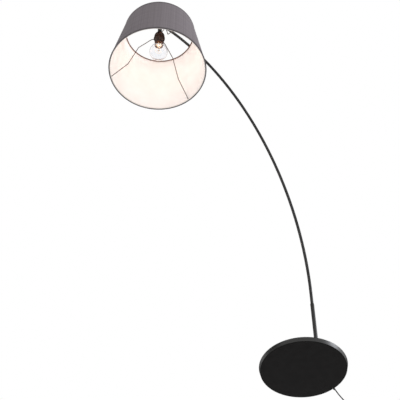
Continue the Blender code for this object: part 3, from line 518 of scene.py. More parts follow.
def light_studio():
    """White surroundings, a soft box, four dark cards, and the warm light of the lamp's own bulb."""
    world = bpy.data.worlds.new("studio")
    bpy.context.scene.world = world
    world.use_nodes = True
    background = world.node_tree.nodes["Background"]
    background.inputs["Color"].default_value = (1.0, 1.0, 1.0, 1.0)
    background.inputs["Strength"].default_value = 1.0
    bpy.context.scene.view_settings.view_transform = "Standard"
    soft_box("key_light", (-2.2, 2.6, 2.0), (0.2, 0, 0.6), 1.2, 60, "#f4f7ff")
    dark_card("rear_flag", (-1.8, -2.1, 2.6), (0.0, 0, 0.4), 6.0)
    dark_card("side_flag", (2.7, -1.3, 1.3), (0.6, 0, 1.5), 2.2, shades=True)
    dark_card("overhead_flag", (0.1, 0.1, 2.9), (0.1, 0.1, 0), 4.5)
    dark_card("under_flag", (0.0, 0.0, -0.6), (0, 0, 0), 1.6)
    glow = bpy.data.lights.new("bulb_glow", "POINT")
    glow.energy = 0.45
    glow.shadow_soft_size = 0.012
    glow.color = linear("#ffdec9")[:3]
    holder = bpy.data.objects.new("bulb_glow", glow)
    holder.location = (low("bulb_glass") + high("bulb_glass")) / 2
    holder.visible_camera = False
    holder.visible_transmission = False
    holder.visible_glossy = False
    bpy.context.scene.collection.objects.link(holder)
    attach(holder, "head")


FLOOR_DROP = -0.0004  # just under the felt


def lay_floor():
    """A pale matt floor that shows only its upper side."""
    material, tree, shader = blank("studio_floor", Roughness=0.85)
    place = add(tree, "ShaderNodeTexCoord").outputs["Object"]
    speckle = add(tree, "ShaderNodeTexNoise", {"Vector": place, "Scale": 6.0, "Detail": 6.0})
    blend = add(tree, "ShaderNodeMix", {"Factor": speckle.outputs["Fac"]}, data_type="RGBA")
    blend.inputs[6].default_value = linear("#eceae7")
    blend.inputs[7].default_value = linear("#f3f2f0")
    tree.links.new(blend.outputs[2], shader.inputs["Base Color"])
    below = add(tree, "ShaderNodeNewGeometry").outputs["Backfacing"]
    clear = add(tree, "ShaderNodeBsdfTransparent").outputs[0]
    sides = add(tree, "ShaderNodeMixShader", {0: below, 1: shader.outputs[0], 2: clear})
    tree.links.new(sides.outputs[0], tree.nodes["Material Output"].inputs["Surface"])
    bm = bmesh.new()
    half = 12.0
    corners = ((-half, -half), (half, -half), (half, half), (-half, half))
    bm.faces.new([bm.verts.new((x, y, FLOOR_DROP)) for x, y in corners])
    floor = bpy.data.objects.new("studio_floor", bpy.data.meshes.new("studio_floor"))
    bm.to_mesh(floor.data)
    bm.free()
    floor.data.materials.append(material)
    floor.visible_shadow = False
    floor.visible_diffuse = False
    floor.visible_glossy = False
    bpy.context.scene.collection.objects.link(floor)


# ---- Cord, foot switch and plug ----

CORD_RADIUS = 0.0023
CORD_LAY = 2 * CORD_RADIUS  # from one turn of a coil to the next
CORD_HEADING = math.radians(200.7)  # direction in which the cord runs away over the floor
CORD_EXIT = (-0.1684, -0.0210, 0.0062)
CORD_TAIL = (
    CORD_EXIT,
    (-0.1730, -0.0224, 0.0054),
    (-0.1790, -0.0245, 0.0038),
    (-0.1870, -0.0276, 0.0025),
    (-0.1960, -0.0314, 0.0023),
    (-0.2120, -0.0377, 0.0023),
    (-0.2306, -0.0448, 0.0023),
    (-0.2450, -0.0503, 0.0023),
    (-0.2610, -0.0563, 0.0023),
)
COIL_A_CENTRE = Vector((-0.2672, -0.0894, 0))
COIL_A_RADIUS = 0.0288  # middle of the outermost turn
COIL_B_CENTRE = Vector((-0.2084, -0.2329, 0))
COIL_B_RADIUS = 0.0330
CORD_LINK_A = ((-0.2879, -0.1160, 0.0070), (-0.2862, -0.1205, 0.0076), (-0.2845, -0.1250, 0.0081))
CORD_LINK_B = ((-0.2530, -0.2083, 0.0076), (-0.2500, -0.2162, 0.0045), (-0.2475, -0.2229, 0.0026))
CORD_LINK_B_END = (-0.2461, -0.2266, 0.0023)
CORD_LINK_C = ((-0.1792, -0.2572, 0.0064), (-0.1740, -0.2552, 0.0058), (-0.1670, -0.2526, 0.0060))
CORD_LINK_C_END = ((-0.1600, -0.2500, 0.0066), (-0.1549, -0.2480, 0.00685))
SWITCH_CENTRE = Vector((-0.2690, -0.1660, 0))
SWITCH_TURN = math.radians(290.7)
SWITCH_AXIS = Vector((math.cos(SWITCH_TURN), math.sin(SWITCH_TURN), 0))
SWITCH_CORD = 0.0083  # height of the cord where it enters the switch
SWITCH_DEPTH = 0.0340  # the cord's ends reach this near the switch's middle
SWITCH_HALF = 0.0385  # from the switch's middle to just inside its end
PLUG_START = Vector((-0.1546, -0.2479, 0.00685))
PLUG_TURN = math.radians(20.7)
PLUG_LENGTH = 0.0370


def eased_step(value, start, end):
    """Goes smoothly from 0 to 1 between two values."""
    t = min(1.0, max(0.0, (value - start) / (end - start)))
    return t * t * (3 - 2 * t)


def coil_route(centre, radius, start_angle, rows):
    """Centre line of a flat coil in two layers: inward on the floor, then outward on top."""
    turns = 2 * rows + 1.25
    steps = round(turns * 32)
    path = []
    for i in range(steps + 1):
        t = turns * i / steps
        inward = sum(eased_step(t, k + 0.75, k + 1.0) for k in range(rows))
        outward = sum(eased_step(t, rows + 1.27 + k, rows + 1.53 + k) for k in range(rows))
        reach = radius - CORD_LAY * (inward - outward)
        height = CORD_RADIUS + CORD_LAY * eased_step(t, rows + 0.53, rows + 0.75)
        angle = start_angle + TURN * t
        path.append(centre + Vector((reach * math.cos(angle), reach * math.sin(angle), height)))
    return path


def smooth(points, pace=0.004):
    """Points about a pace apart on a smooth curve through the given ones."""
    points = [Vector(p) for p in points]
    padded = [2 * points[0] - points[1], *points, 2 * points[-1] - points[-2]]
    path = []
    for a, b, c, d in zip(padded, padded[1:], padded[2:], padded[3:]):
        count = max(1, round((c - b).length / pace))
        for k in range(count):
            t = k / count
            bend = (2 * a - 5 * b + 4 * c - d) * t**2 + (3 * b - a - 3 * c + d) * t**3
            path.append(0.5 * (2 * b + (c - a) * t + bend))
    return [*path, points[-1]]


def boot(name, start, along, length, root, tip, collar):
    """A tapered, ribbed strain relief round the cord, standing out of a housing."""
    ribs = round(length / 0.0028)
    outline = [(CORD_RADIUS + 0.0001, 0), (collar, 0), (collar, 0.0016)]
    for k in range(ribs):
        near = 0.0016 + (length - 0.0016) * k / ribs
        step = (length - 0.0016) / ribs
        size = root + (tip - root) * (k + 1) / ribs
        outline += [(size - 0.0006, near + 0.1 * step), (size - 0.0006, near + 0.35 * step)]
        outline += [(size, near + 0.5 * step), (size, near + 0.95 * step)]
    outline += [(CORD_RADIUS + 0.0001, length)]
    turn = Vector(along).to_track_quat("Z", "Y").to_matrix().to_4x4()
    place = Matrix.Translation(Vector(start)) @ turn
    return piece(name, turned(eased(outline, 0.0002, 2), 32), "stand", "black_plastic", place=place)


def tie(name, centre, radius, rows, angle):
    """A hook-and-loop strap closed round one side of a coil."""
    width = 0.0055
    skin = 0.0008
    inner = radius - CORD_LAY * rows - CORD_RADIUS - 0.0004
    outer = radius + CORD_RADIUS + 0.0004
    top = 4 * CORD_RADIUS + 0.0003
    loop = [(inner, 0.0004), (outer, 0.0004), (outer, top), (inner, top)]
    shell = [(inner - skin, 0.0001), (outer + skin, 0.0001)]
    shell += [(outer + skin, top + skin), (inner - skin, top + skin)]
    bm = bmesh.new()
    near, far = (
        [[bm.verts.new((x, y, z)) for x, z in eased(line, 0.0015, 4)] for line in (loop, shell)]
        for y in (-width, width)
    )
    for rows_of_corners in (near, far, *zip(near, far)):
        skinned(bm, rows_of_corners)
    return piece(name, bm, "stand", "cord", place=frame_at(centre, (0, 0, angle)), material=FELT)


def slab(length, width, bottom, top, corner, edge_top, edge_bottom, steps=6):
    """A flat case with rounded upright corners and rounded upper and lower rims."""
    bm = bmesh.new()
    bmesh.ops.create_cube(bm, size=1.0)
    for v in bm.verts:
        v.co = (v.co.x * length, v.co.y * width, bottom + (v.co.z + 0.5) * (top - bottom))
    upright = [e for e in bm.edges if abs(e.verts[0].co.z - e.verts[1].co.z) > 1e-6]
    bmesh.ops.bevel(bm, geom=upright, offset=corner, segments=2 * steps, profile=0.5, affect="EDGES")
    for level, size in ((top, edge_top), (bottom, edge_bottom)):
        rim = [e for e in bm.edges if all(abs(v.co.z - level) < 1e-6 for v in e.verts)]
        bmesh.ops.bevel(bm, geom=rim, offset=size, segments=steps, profile=0.5, affect="EDGES")
    return bm


def foot_switch():
    """Foot switch: tray, cover with a dished ring round the button, and the button itself."""
    place = frame_at(SWITCH_CENTRE, (0, 0, SWITCH_TURN))
    split = high("switch_tray").z
    top = high("switch_cover").z
    along = frame_at((0, 0, SWITCH_CORD), (0, math.pi / 2, 0))

    def entries():
        return as_object("entries", rod(CORD_RADIUS + GAP, -0.05, 0.05), place @ along)

    outside = (0.078, 0.036)
    inside = (0.0744, 0.0324)
    tray = as_object("foot_switch_tray", slab(*outside, 0.0, split, 0.0088, 0.0003, 0.0012), place)
    hollow = as_object("hollow", slab(*inside, 0.0018, 0.03, 0.0075, 0.0002, 0.0004), place)
    carved(tray, hollow, entries())
    fitted(tray, "stand", "black_plastic", "switch_tray")
    cover = as_object("foot_switch_cover", slab(*outside, split + GAP, top, 0.0088, 0.0042, 0.0003), place)
    hollow = as_object("hollow", slab(*inside, 0.002, top - 0.0018, 0.0075, 0.0030, 0.0004), place)
    cone = [(0, top - 0.0007), (0.0135, top - 0.0007), (0.0150, top + 0.001), (0, top + 0.001)]
    dish = as_object("dish", turned(cone), place)
    hole = as_object("hole", rod(0.0109 + GAP, 0.012, 0.03), place)
    carved(cover, hollow, dish, hole, entries())
    fitted(cover, "stand", "black_plastic", "switch_cover")
    crown = high("switch_button").z
    button = [(0, 0.0172), (0.0128, 0.0172), (0.0128, 0.0188), (0.0109, 0.0188), (0.0109, crown - 0.0016)]
    button += [(0.0098, crown - 0.0004), (0.0070, crown - 0.0007), (0.0030, crown - 0.0001), (0, crown)]
    piece("foot_switch_button", turned(eased(button, 0.0006), 64), "switch_button", "black_plastic",
          "switch_button", place=place)
    head = [(0, 0.0006), (0.0010, 0.0006), (0.0012, 0.0001), (0.0022, 0.0001), (0.0022, 0.0015), (0, 0.0015)]
    feet = []
    for k, (x, y) in enumerate(((-0.031, -0.011), (0.031, -0.011), (-0.031, 0.011), (0.031, 0.011))):
        spot = SWITCH_CENTRE + Matrix.Rotation(SWITCH_TURN, 3, "Z") @ Vector((x, y, 0))
        feet.append(piece(f"switch_screw_{k + 1}", turned(head, 24), "stand", "zinc", place=frame_at(spot)))
    return [tray, cover, *feet]


def plug_body():
    """Flat two-pin plug: a moulded body with a waist and grip ribs."""
    half = 0.01765
    thick = 0.01370 / 2
    tail = 0.0050  # half the body's width and height where the cord enters
    stations = 26
    bm = bmesh.new()
    rings = []
    for i in range(stations + 1):
        t = i / stations
        x = PLUG_LENGTH * t
        swell = eased_step(t, 0.05, 0.62)
        wide = tail + (half - tail) * swell
        tall = tail + (thick - tail) * eased_step(t, 0.0, 0.4)
        rim = 0.0012 * (1 - eased_step(1 - t, 0.0, 0.03)) + 0.0010 * (1 - eased_step(t, 0.0, 0.04))
        ribbed = eased_step(t, 0.12, 0.2) * eased_step(0.75 - t, 0.0, 0.1)
        grip = 0.0004 * max(0.0, math.sin(TURN * t * 9)) * ribbed
        ring = []
        for a in ring_points(48):
            c, s = math.cos(a), math.sin(a)
            corner = (abs(c) ** 3.2 + abs(s) ** 3.2) ** (-1 / 3.2)
            y = (wide - rim - grip) * c * corner
            z = (tall - rim) * s * corner
            ring.append(bm.verts.new((x, y, z)))
        rings.append(ring)
    skinned(bm, rings)
    bm.faces.new(rings[0])
    bm.faces.new(rings[-1])
    place = frame_at(PLUG_START, (0, 0, PLUG_TURN))
    return piece("plug_moulding", bm, "stand", "black_plastic", "plug_body", place=place)


def plug_pins():
    """Two round pins with insulating sleeves near the body and rounded tips."""
    made = []
    for side, y in (("left", 0.0093), ("right", -0.0093)):
        start = PLUG_LENGTH + GAP
        place = frame_at(PLUG_START, (0, 0, PLUG_TURN)) @ frame_at((0, y, 0), (0, math.pi / 2, 0))
        metal = [(0, start), (0.0016, start), (0.0016, start + 0.0100), (0.0020, start + 0.0102)]
        metal += [(0.0020, start + 0.0176), (0.0016, start + 0.0186), (0, start + 0.0190)]
        made.append(piece("plug_pin_metal_" + side, turned(eased(metal, 0.0003), 32), "stand", "brass",
                          "plug_pin_" + side, place=place))
        sleeve = pipe(0.0020, 0.00165, start, start + 0.0099, 0.0001, 32)
        made.append(piece("plug_pin_sleeve_" + side, sleeve, "stand", "black_plastic", place=place))
    return made


def cords():
    """The lead in its two lengths, with the foot switch between them and the plug on the end."""
    entry = SWITCH_CENTRE - SWITCH_AXIS * SWITCH_DEPTH + Vector((0, 0, SWITCH_CORD))
    leave = SWITCH_CENTRE + SWITCH_AXIS * SWITCH_DEPTH + Vector((0, 0, SWITCH_CORD))
    inner_end = SWITCH_CENTRE - SWITCH_AXIS * SWITCH_HALF + Vector((0, 0, SWITCH_CORD))
    outer_end = SWITCH_CENTRE + SWITCH_AXIS * SWITCH_HALF + Vector((0, 0, SWITCH_CORD))
    first_turn = CORD_HEADING - math.pi / 2
    coil_a = coil_route(COIL_A_CENTRE, COIL_A_RADIUS, first_turn, 1)
    coil_b = coil_route(COIL_B_CENTRE, COIL_B_RADIUS, CORD_HEADING, 3)
    tail = smooth([*CORD_TAIL, coil_a[0]])[:-1]
    link_a = smooth([coil_a[-1], *CORD_LINK_A, inner_end, entry])[1:]
    upper = [*tail, *coil_a, *link_a]
    link_b = smooth([leave, outer_end, *CORD_LINK_B, CORD_LINK_B_END, coil_b[0]])[:-1]
    link_c = smooth([coil_b[-1], *CORD_LINK_C, *CORD_LINK_C_END])[1:]
    lower = [*link_b, *coil_b, *link_c]
    cord_upper = piece("cord_upper", swept(upper, CORD_RADIUS), "stand", "cord",
                       "cord_tail", "cord_coil_a", "cord_link_a")
    cord_lower = piece("cord_lower", swept(lower, CORD_RADIUS), "stand", "cord",
                       "cord_link_b", "cord_coil_b", "cord_link_c")
    switch = foot_switch()
    toward_a = (Vector(CORD_LINK_A[1]) - inner_end).normalized()
    toward_b = (Vector(CORD_LINK_B[0]) - outer_end).normalized()
    into_plug = (Vector(CORD_LINK_C_END[0]) - PLUG_START).normalized()
    clear = SWITCH_AXIS * 0.0006
    boot_a = boot("switch_boot_in", inner_end - clear, toward_a, 0.020, 0.0042, 0.0032, 0.0048)
    boot_b = boot("switch_boot_out", outer_end + clear, toward_b, 0.020, 0.0042, 0.0032, 0.0048)
    boot_c = boot("plug_boot", PLUG_START, into_plug, 0.022, 0.0048, 0.0033, 0.0049)
    tie_a = tie("cord_tie_upper", COIL_A_CENTRE, COIL_A_RADIUS, 1, math.radians(20))
    tie_b = tie("cord_tie_lower", COIL_B_CENTRE, COIL_B_RADIUS, 3, math.radians(100))
    plug_body()
    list(plug_pins())


# ---- Base and pole ----

BASE_FOOT = 0.1570  # radius of the cover's lower edge, where its wall has drawn in
BASE_EDGE = 0.0035  # rounding of the cover's upper edge
COVER_WALL = 0.0012
COVER_LIFT = 0.0015
GROOVE_TURN = math.radians(193.2)  # direction of the cable groove from the pole
BUSHING_HEIGHT = 0.0062
NOTCH_RADIUS = 0.0040


def groove_frame():
    """Local +Z runs outward along the cable groove and local +X points down."""
    return frame_at(POLE + Vector((0, 0, BUSHING_HEIGHT)), (0, math.pi / 2, GROOVE_TURN))


def notch_body(half, start, end):
    """A keyhole-shaped body along the groove, open to the floor side."""
    floor_side = BUSHING_HEIGHT + 0.002
    outline = arc_points((0, 0), half, 90, 270, 16) + [(floor_side, -half), (floor_side, half)]
    bm = bmesh.new()
    rows = [[bm.verts.new((x, y, z)) for x, y in outline] for z in (start, end)]
    bm.faces.new(rows[0])
    bm.faces.new(rows[1])
    skinned(bm, rows)
    return as_object("notch", bm, groove_frame())


def base():
    """Pressed cover with its rolled rim, felt pad, and the ribbed bushing that holds the cord."""
    radius = high("base_cover").x
    top = high("base_cover").z
    rim = (radius - BASE_EDGE, top - BASE_EDGE)
    outline = [(BASE_FOOT, COVER_LIFT), *arc_points(rim, BASE_EDGE, 0, 90, 10)]
    outline += [(0, top), (0, top - COVER_WALL)]
    outline += arc_points(rim, BASE_EDGE - COVER_WALL, 90, 0, 8)
    outline += [(BASE_FOOT - COVER_WALL, COVER_LIFT), (BASE_FOOT - 0.0006, COVER_LIFT - 0.0003)]
    cover = as_object("base_shell", turned(outline, 181))
    hole = as_object("hole", rod(0.0065, 0.010, 0.030), frame_at(POLE, (0, 0, 0.01)))
    carved(cover, hole, notch_body(NOTCH_RADIUS, 0.070, 0.090))
    fitted(cover, "stand", "black_coat", "base_cover")
    pad_radius = high("base_pad").x
    thick = high("base_pad").z
    felt = [(0, 0.0001), (pad_radius - 0.0030, 0.0), (pad_radius - 0.0010, 0.0003), (pad_radius, 0.0012)]
    felt += [(pad_radius, thick - 0.0004), (pad_radius - 0.0004, thick), (0, thick)]
    pad = as_object("floor_pad", turned(felt, 181))
    carved(pad, notch_body(0.0048, 0.0667, 0.1))
    fitted(pad, "stand", "felt", "base_pad")
    inner = CORD_RADIUS + GAP
    bushing = [(inner, 0.0670), (0.0045, 0.0670), (0.0045, 0.0776), (NOTCH_RADIUS - GAP, 0.0776)]
    bushing += [(NOTCH_RADIUS - GAP, 0.0813), (0.0045, 0.0813), (0.0044, 0.0833)]
    bushing += [(0.0038, 0.0835), (0.0038, 0.0843), (0.0042, 0.0846), (0.0040, 0.0858), (0.0035, 0.0860)]
    bushing += [(0.0035, 0.0868), (0.0038, 0.0871), (0.0036, 0.0883), (0.0032, 0.0885), (0.0032, 0.0893)]
    bushing += [(0.0034, 0.0896), (0.0031, 0.0915), (inner, 0.0915)]
    piece("cord_gland", turned(eased(bushing, 0.0002, 2), 48), "stand", "black_plastic", "cord_bushing",
          place=groove_frame())


def pole():
    """Lower tube with a rolled upper lip, and the socket-head grub screw that clamps the arc in it."""
    radius = high("pole_tube").x - POLE.x
    top = high("pole_tube").z
    bottom = low("pole_tube").z
    bore = 0.0063
    outline = [(bore, bottom), (radius, bottom), (radius, top - 0.0012), (radius - 0.0003, top - 0.0004)]
    outline += [(radius - 0.0008, top), (bore + 0.0002, top), (bore, top - 0.0004)]
    tube = as_object("pole_lower_tube", turned(eased(outline, 0.0002, 2), 56), Matrix.Translation(POLE))
    spot = (low("set_screw") + high("set_screw")) / 2
    rear = frame_at((POLE.x, 0, spot.z), (0, -math.pi / 2, 0))
    carved(tube, as_object("hole", rod(0.0023, 0.002, 0.010, 0.0001, 24), rear))
    fitted(tube, "stand", "black_coat", "pole_tube")
    screw = as_object("grub_screw", rod(0.0020, 0.0063, 0.0081, 0.0003, 32), rear)
    socket = as_object("socket", cutter(0.0011, 0.0068, 0.010, 6), rear)
    carved(screw, socket)
    fitted(screw, "stand", "zinc", "set_screw")


# ---- Arm ----

DRUM_RADIUS = 0.0090  # of the knuckle
ARC_RADIUS = 0.0060
ARC_SPRING = 0.4220  # height where the curve begins
TUBE_END = 0.0163  # the arc tube stops this far from the pivot


def arc_tree(tree, size):
    """The arc's rule: upright below the spring height, then a quarter ellipse towards the pivot."""
    line = add(tree, "GeometryNodeCurvePrimitiveLine", {"End": (0, 0, 1.0)})
    dense = add(tree, "GeometryNodeResampleCurve", {"Curve": line.outputs[0], "Count": 181})
    share = add(tree, "GeometryNodeSplineParameter").outputs["Factor"]

    def maths(operation, *values):
        return add(tree, "ShaderNodeMath", dict(enumerate(values)), operation=operation).outputs[0]

    span = maths("SUBTRACT", size["Last Turn"], size["First Turn"])
    turn = maths("MULTIPLY_ADD", share, span, size["First Turn"])
    bend = maths("MAXIMUM", turn, 0.0)
    foot = maths("MINIMUM", turn, 0.0)
    out = maths("MULTIPLY", maths("SUBTRACT", 1.0, maths("COSINE", bend)), size["Reach"])
    rise = maths("ADD", maths("SINE", bend), foot)
    height = maths("MULTIPLY_ADD", rise, size["Rise"], size["Spring"])
    spot = add(tree, "ShaderNodeCombineXYZ", {0: maths("ADD", out, size["Foot X"]), 2: height})
    path = add(tree, "GeometryNodeSetPosition", {"Geometry": dense.outputs[0], "Position": spot.outputs[0]})
    girth = {"Resolution": 28, "Radius": size["Tube Radius"]}
    round_bar = add(tree, "GeometryNodeCurvePrimitiveCircle", girth)
    swept_tube = {"Curve": path.outputs[0], "Profile Curve": round_bar.outputs[0], "Fill Caps": True}
    return add(tree, "GeometryNodeCurveToMesh", swept_tube).outputs[0]


def arc():
    """The bent tube that carries the head."""
    reach = PIVOT.x - POLE.x
    rise = PIVOT.z - ARC_SPRING
    sizes = {
        "Reach": reach,
        "Rise": rise,
        "Spring": ARC_SPRING,
        "Foot X": POLE.x,
        "First Turn": (low("arc_tube").z - ARC_SPRING) / rise,
        "Last Turn": math.acos(TUBE_END / reach),
        "Tube Radius": ARC_RADIUS,
    }
    tube = grown("arc_bent_tube", sizes, arc_tree)
    fitted(tube, "arm", "black_coat", "arc_tube")


def knuckle_half(name, boss, boss_end, socket, socket_start, body, node, lean):
    """Half of the friction knuckle: drum, boss and the web between them, with the boss's socket."""
    place = frame_at(PIVOT, lean)
    sideways = place @ frame_at((0, 0, 0), (math.pi / 2, 0, 0))
    along = place @ frame_at((0, 0, 0), (0, math.pi / 2, 0))
    half = as_object(name, rod(DRUM_RADIUS, -0.0085, -0.0008, 0.0006, 72), sideways)
    neck = as_object("neck", rod(boss, 0.0105, boss_end, 0.0008, 60), along)
    side = boss - 0.0015
    middle = 0.00085  # half of the gap that the fibre washer fills
    bm = bmesh.new()
    bmesh.ops.create_cube(bm, size=1.0)
    for v in bm.verts:
        across = middle + (v.co.y + 0.5) * (side - middle)
        v.co = (0.001 + (v.co.x + 0.5) * 0.0121, across, 2 * v.co.z * side)
    web = as_object("web", bm, place)
    carved(half, neck, web, operation="UNION")
    hollow = as_object("hollow", cutter(socket, socket_start, 0.05, 37), along)
    bolt_hole = as_object("bolt_hole", cutter(0.0023, -0.02, 0.02, 29), sideways)
    carved(half, hollow, bolt_hole)
    fitted(half, body, "black_coat", node, sharp=30)


def knuckle():
    """The tilting joint: two halves, spaced for the fibre washer between them, and a socket bolt through
    both.
    """
    lean = math.atan2(0.00109, 0.0320)  # the tube's last stretch drops this much
    knuckle_half("knuckle_arm_half", 0.0075, 0.0300, 0.0063, 0.0160, "arm", "knuckle_upper",
                 (0, math.pi - lean, 0))
    knuckle_half("knuckle_head_half", 0.0085, 0.0205, 0.0053, 0.0130, "head", "knuckle_lower",
                 (math.pi, math.pi / 2, 0))
    sideways = frame_at(PIVOT, (math.pi / 2, 0, 0))
    bolt = [(0, -0.0112), (0.0031, -0.0112), (0.0038, -0.0106), (0.0038, -0.0088), (0.0020, -0.0088)]
    bolt += [(0.0020, 0.0126), (0.0016, 0.0130), (0, 0.0130)]
    screw = as_object("knuckle_screw", turned(eased(bolt, 0.0002, 2), 40), sideways)
    socket = as_object("socket", cutter(0.0017, -0.02, -0.0099, 6), sideways)
    carved(screw, socket)
    fitted(screw, "arm", "zinc", "knuckle_bolt")


# ---- Head ----

NIPPLE_HOLE = 0.0053
CAP_WALL = 0.0018


def dome(shoulder, edge, top, height, steps=14):
    """Outline of a quarter-ellipse dome from its flat top out to its edge."""
    angles = [math.pi / 2 * k / steps for k in range(steps + 1)]
    return [(shoulder + (edge - shoulder) * math.sin(a), top - height * (1 - math.cos(a))) for a in angles]


def lampholder():
    """Stem sleeve, domed cap with a parting line, and the skirt with its coarse outer thread."""
    sleeve = pipe(0.0095, 0.0085, low("head_sleeve").z, high("head_sleeve").z, 0.0004, 56)
    piece("stem_sleeve", sleeve, "head", "black_coat", "head_sleeve", place=HEAD_AXIS)
    top = high("holder_cap").z
    edge = high("holder_cap").x - PIVOT.x
    foot = low("holder_cap").z
    rounding = 0.0235
    inner = dome(0.0077, edge - CAP_WALL, top - CAP_WALL, rounding - CAP_WALL)
    outline = [(NIPPLE_HOLE, top), *dome(0.0095, edge, top, rounding)]
    outline += [(edge, foot + 0.0022), (edge - 0.0004, foot + 0.0018)]
    outline += [(edge - 0.0004, foot + 0.0012), (edge, foot + 0.0008), (edge, foot), (edge - CAP_WALL, foot)]
    outline += [*reversed(inner), (NIPPLE_HOLE, top - CAP_WALL)]
    piece("holder_dome", turned(outline, 80), "head", "holder_plastic", "holder_cap", place=HEAD_AXIS)
    mouth = low("holder_skirt").z
    crown = high("holder_skirt").z
    bore = 0.0165
    root = 0.0193
    crest = 0.0200
    pitch = 0.0026
    flange = 0.0047
    lip = crest + 0.0003
    outline = [(bore, mouth), (lip, mouth), (lip, mouth + 0.0030), (root, mouth + 0.0034)]
    count = int((crown - flange - mouth - 0.0046) / pitch)
    for k in range(count):
        start = mouth + 0.0040 + pitch * k
        outline += [(root, start), (crest, start + 0.30 * pitch)]
        outline += [(crest, start + 0.62 * pitch), (root, start + 0.92 * pitch)]
    outline += [(root, crown - flange), (0.0235, crown - flange), (0.0235, crown), (bore, crown)]
    piece("holder_thread_skirt", turned(eased(outline, 0.0003, 2), 80), "head", "holder_plastic",
          "holder_skirt", place=HEAD_AXIS)


def rib_tree(tree, size):
    """Short half-round ribs, evenly round a circle."""
    ring = {"Vertices": 36, "Radius": size["Ring Radius"]}
    circle = add(tree, "GeometryNodeMeshCircle", ring, fill_type="NONE")
    bar = {"Vertices": 10, "Radius": size["Rib Radius"], "Depth": size["Rib Height"]}
    rib = add(tree, "GeometryNodeMeshCylinder", bar)
    spread = {"Points": circle.outputs[0], "Instance": rib.outputs[0]}
    ribs = add(tree, "GeometryNodeInstanceOnPoints", spread)
    lift = add(tree, "ShaderNodeCombineXYZ", {0: size["Axis X"], 2: size["Middle Height"]})
    moved = add(tree, "GeometryNodeTransform", {"Geometry": ribs.outputs[0], "Translation": lift.outputs[0]})
    return moved.outputs[0]


def ring_nut():
    """The threaded ring under the shade's hub, with grip ribs round it."""
    bottom, top = low("shade_ring_nut"), high("shade_ring_nut")
    outline = [(0.0206, bottom.z), (0.0228, bottom.z), (0.0233, bottom.z + 0.0008), (0.0233, top.z - 0.0014)]
    outline += [(0.0238, top.z - 0.0010), (0.0238, top.z), (0.0206, top.z)]
    piece("ring_nut_body", turned(eased(outline, 0.0003), 80), "shade_nut", "holder_plastic",
          "shade_ring_nut", place=HEAD_AXIS)
    sizes = {
        "Ring Radius": 0.0230,
        "Rib Radius": 0.0008,
        "Rib Height": top.z - bottom.z - 0.0030,
        "Axis X": PIVOT.x,
        "Middle Height": (top.z + bottom.z) / 2 - 0.0002,
    }
    fitted(grown("ring_nut_ribs", sizes, rib_tree), "shade_nut", "holder_plastic")


GLOBE_RADIUS = 0.0400


def glass_outline(inset):
    """The globe and its neck from the bottom up, moved in by the wall for the inner side."""
    radius = GLOBE_RADIUS - inset
    lean = 48
    points = arc_points((0, 0), radius, -90, lean, 36)
    start = points[-1]
    pull = (start[0] - 0.010 * math.sin(math.radians(lean)), start[1] + 0.010 * math.cos(math.radians(lean)))
    neck = 0.0124 - inset
    ends = (start, pull, (neck + 0.0006, 0.0440), (neck, 0.0530))
    for k in range(1, 13):
        t = k / 12
        share = ((1 - t) ** 3, 3 * t * (1 - t) ** 2, 3 * t**2 * (1 - t), t**3)
        points.append(tuple(sum(w * end[i] for w, end in zip(share, ends)) for i in (0, 1)))
    return [(0, -radius), *points[1:], (neck, 0.0620)]


def bulb():
    """Clear globe bulb with its rolled screw cap, insulator, flared stem, supports and filament."""
    centre = Matrix.Translation((PIVOT.x, PIVOT.y, low("bulb_glass").z + GLOBE_RADIUS))
    outline = [*glass_outline(0), *reversed(glass_outline(0.0008))]
    globe = piece("globe_glass", turned(outline, 96), "bulb", "glass", "bulb_glass", place=centre)
    globe.visible_shadow = False
    thread = [(0.0127, 0.0540), (0.0130, 0.0540), (0.0130, 0.0562)]
    for k in range(5):
        start = 0.0565 + 0.0036 * k
        thread += [(0.0128, start), (0.0132, start + 0.0009)]
        thread += [(0.0132, start + 0.0018), (0.0128, start + 0.0029)]
    thread += [(0.0126, 0.0762), (0.0085, 0.0790), (0.0076, 0.0790), (0.0076, 0.0784), (0.0121, 0.0755)]
    piece("screw_cap", turned(eased(thread, 0.0003, 2), 64), "bulb", "brass", "bulb_cap", place=centre)
    flare = [(0, 0.0090), (0.0028, 0.0091), (0.0041, 0.0100), (0.0041, 0.0116), (0.0026, 0.0130)]
    flare += [(0.0022, 0.0180), (0.0022, 0.0320), (0.0028, 0.0400), (0.0042, 0.0480), (0.0072, 0.0550)]
    flare += [(0.0106, 0.0596), (0.0108, 0.0608), (0.0100, 0.0610), (0, 0.0610)]
    stem = piece("glass_stem", turned(eased(flare, 0.0006), 40), "bulb", "glass", "bulb_stem", place=centre)
    stem.visible_shadow = False
    cement = [(0.0045, 0.0613), (0.0112, 0.0613), (0.0112, 0.0660), (0.0045, 0.0660)]
    piece("capping_cement", turned(eased(cement, 0.0004), 40), "bulb", "insulator", place=centre,
          material=STEATITE)
    hoop = [(x, y, 0.0110) for x, y in arc_points((0, 0), 0.0150, 0, -180, 40)]
    coil = bent([(0.0026, 0, 0.0330), (0.0060, 0, 0.0230), hoop[0]], 0.003) + hoop[1:]
    coil += bent([hoop[-1], (-0.0060, 0, 0.0230), (-0.0026, 0, 0.0330)], 0.003)[1:]
    piece("filament_wire", swept(coil, 0.0004, 8), "bulb", "tungsten", "bulb_filament", place=centre)
    for k in range(3):
        angle = math.radians(-45 - 45 * k)
        reach = Vector((math.cos(angle), math.sin(angle), 0))
        support = [reach * 0.0036 + Vector((0, 0, 0.0108)), reach * 0.0100 + Vector((0, 0, 0.0114)),
                   reach * 0.0146 + Vector((0, 0, 0.0111))]
        piece(f"filament_support_{k + 1}", swept(smooth(support, 0.001), 0.00022, 8), "bulb", "tungsten",
              place=centre)


# ---- Shade ----

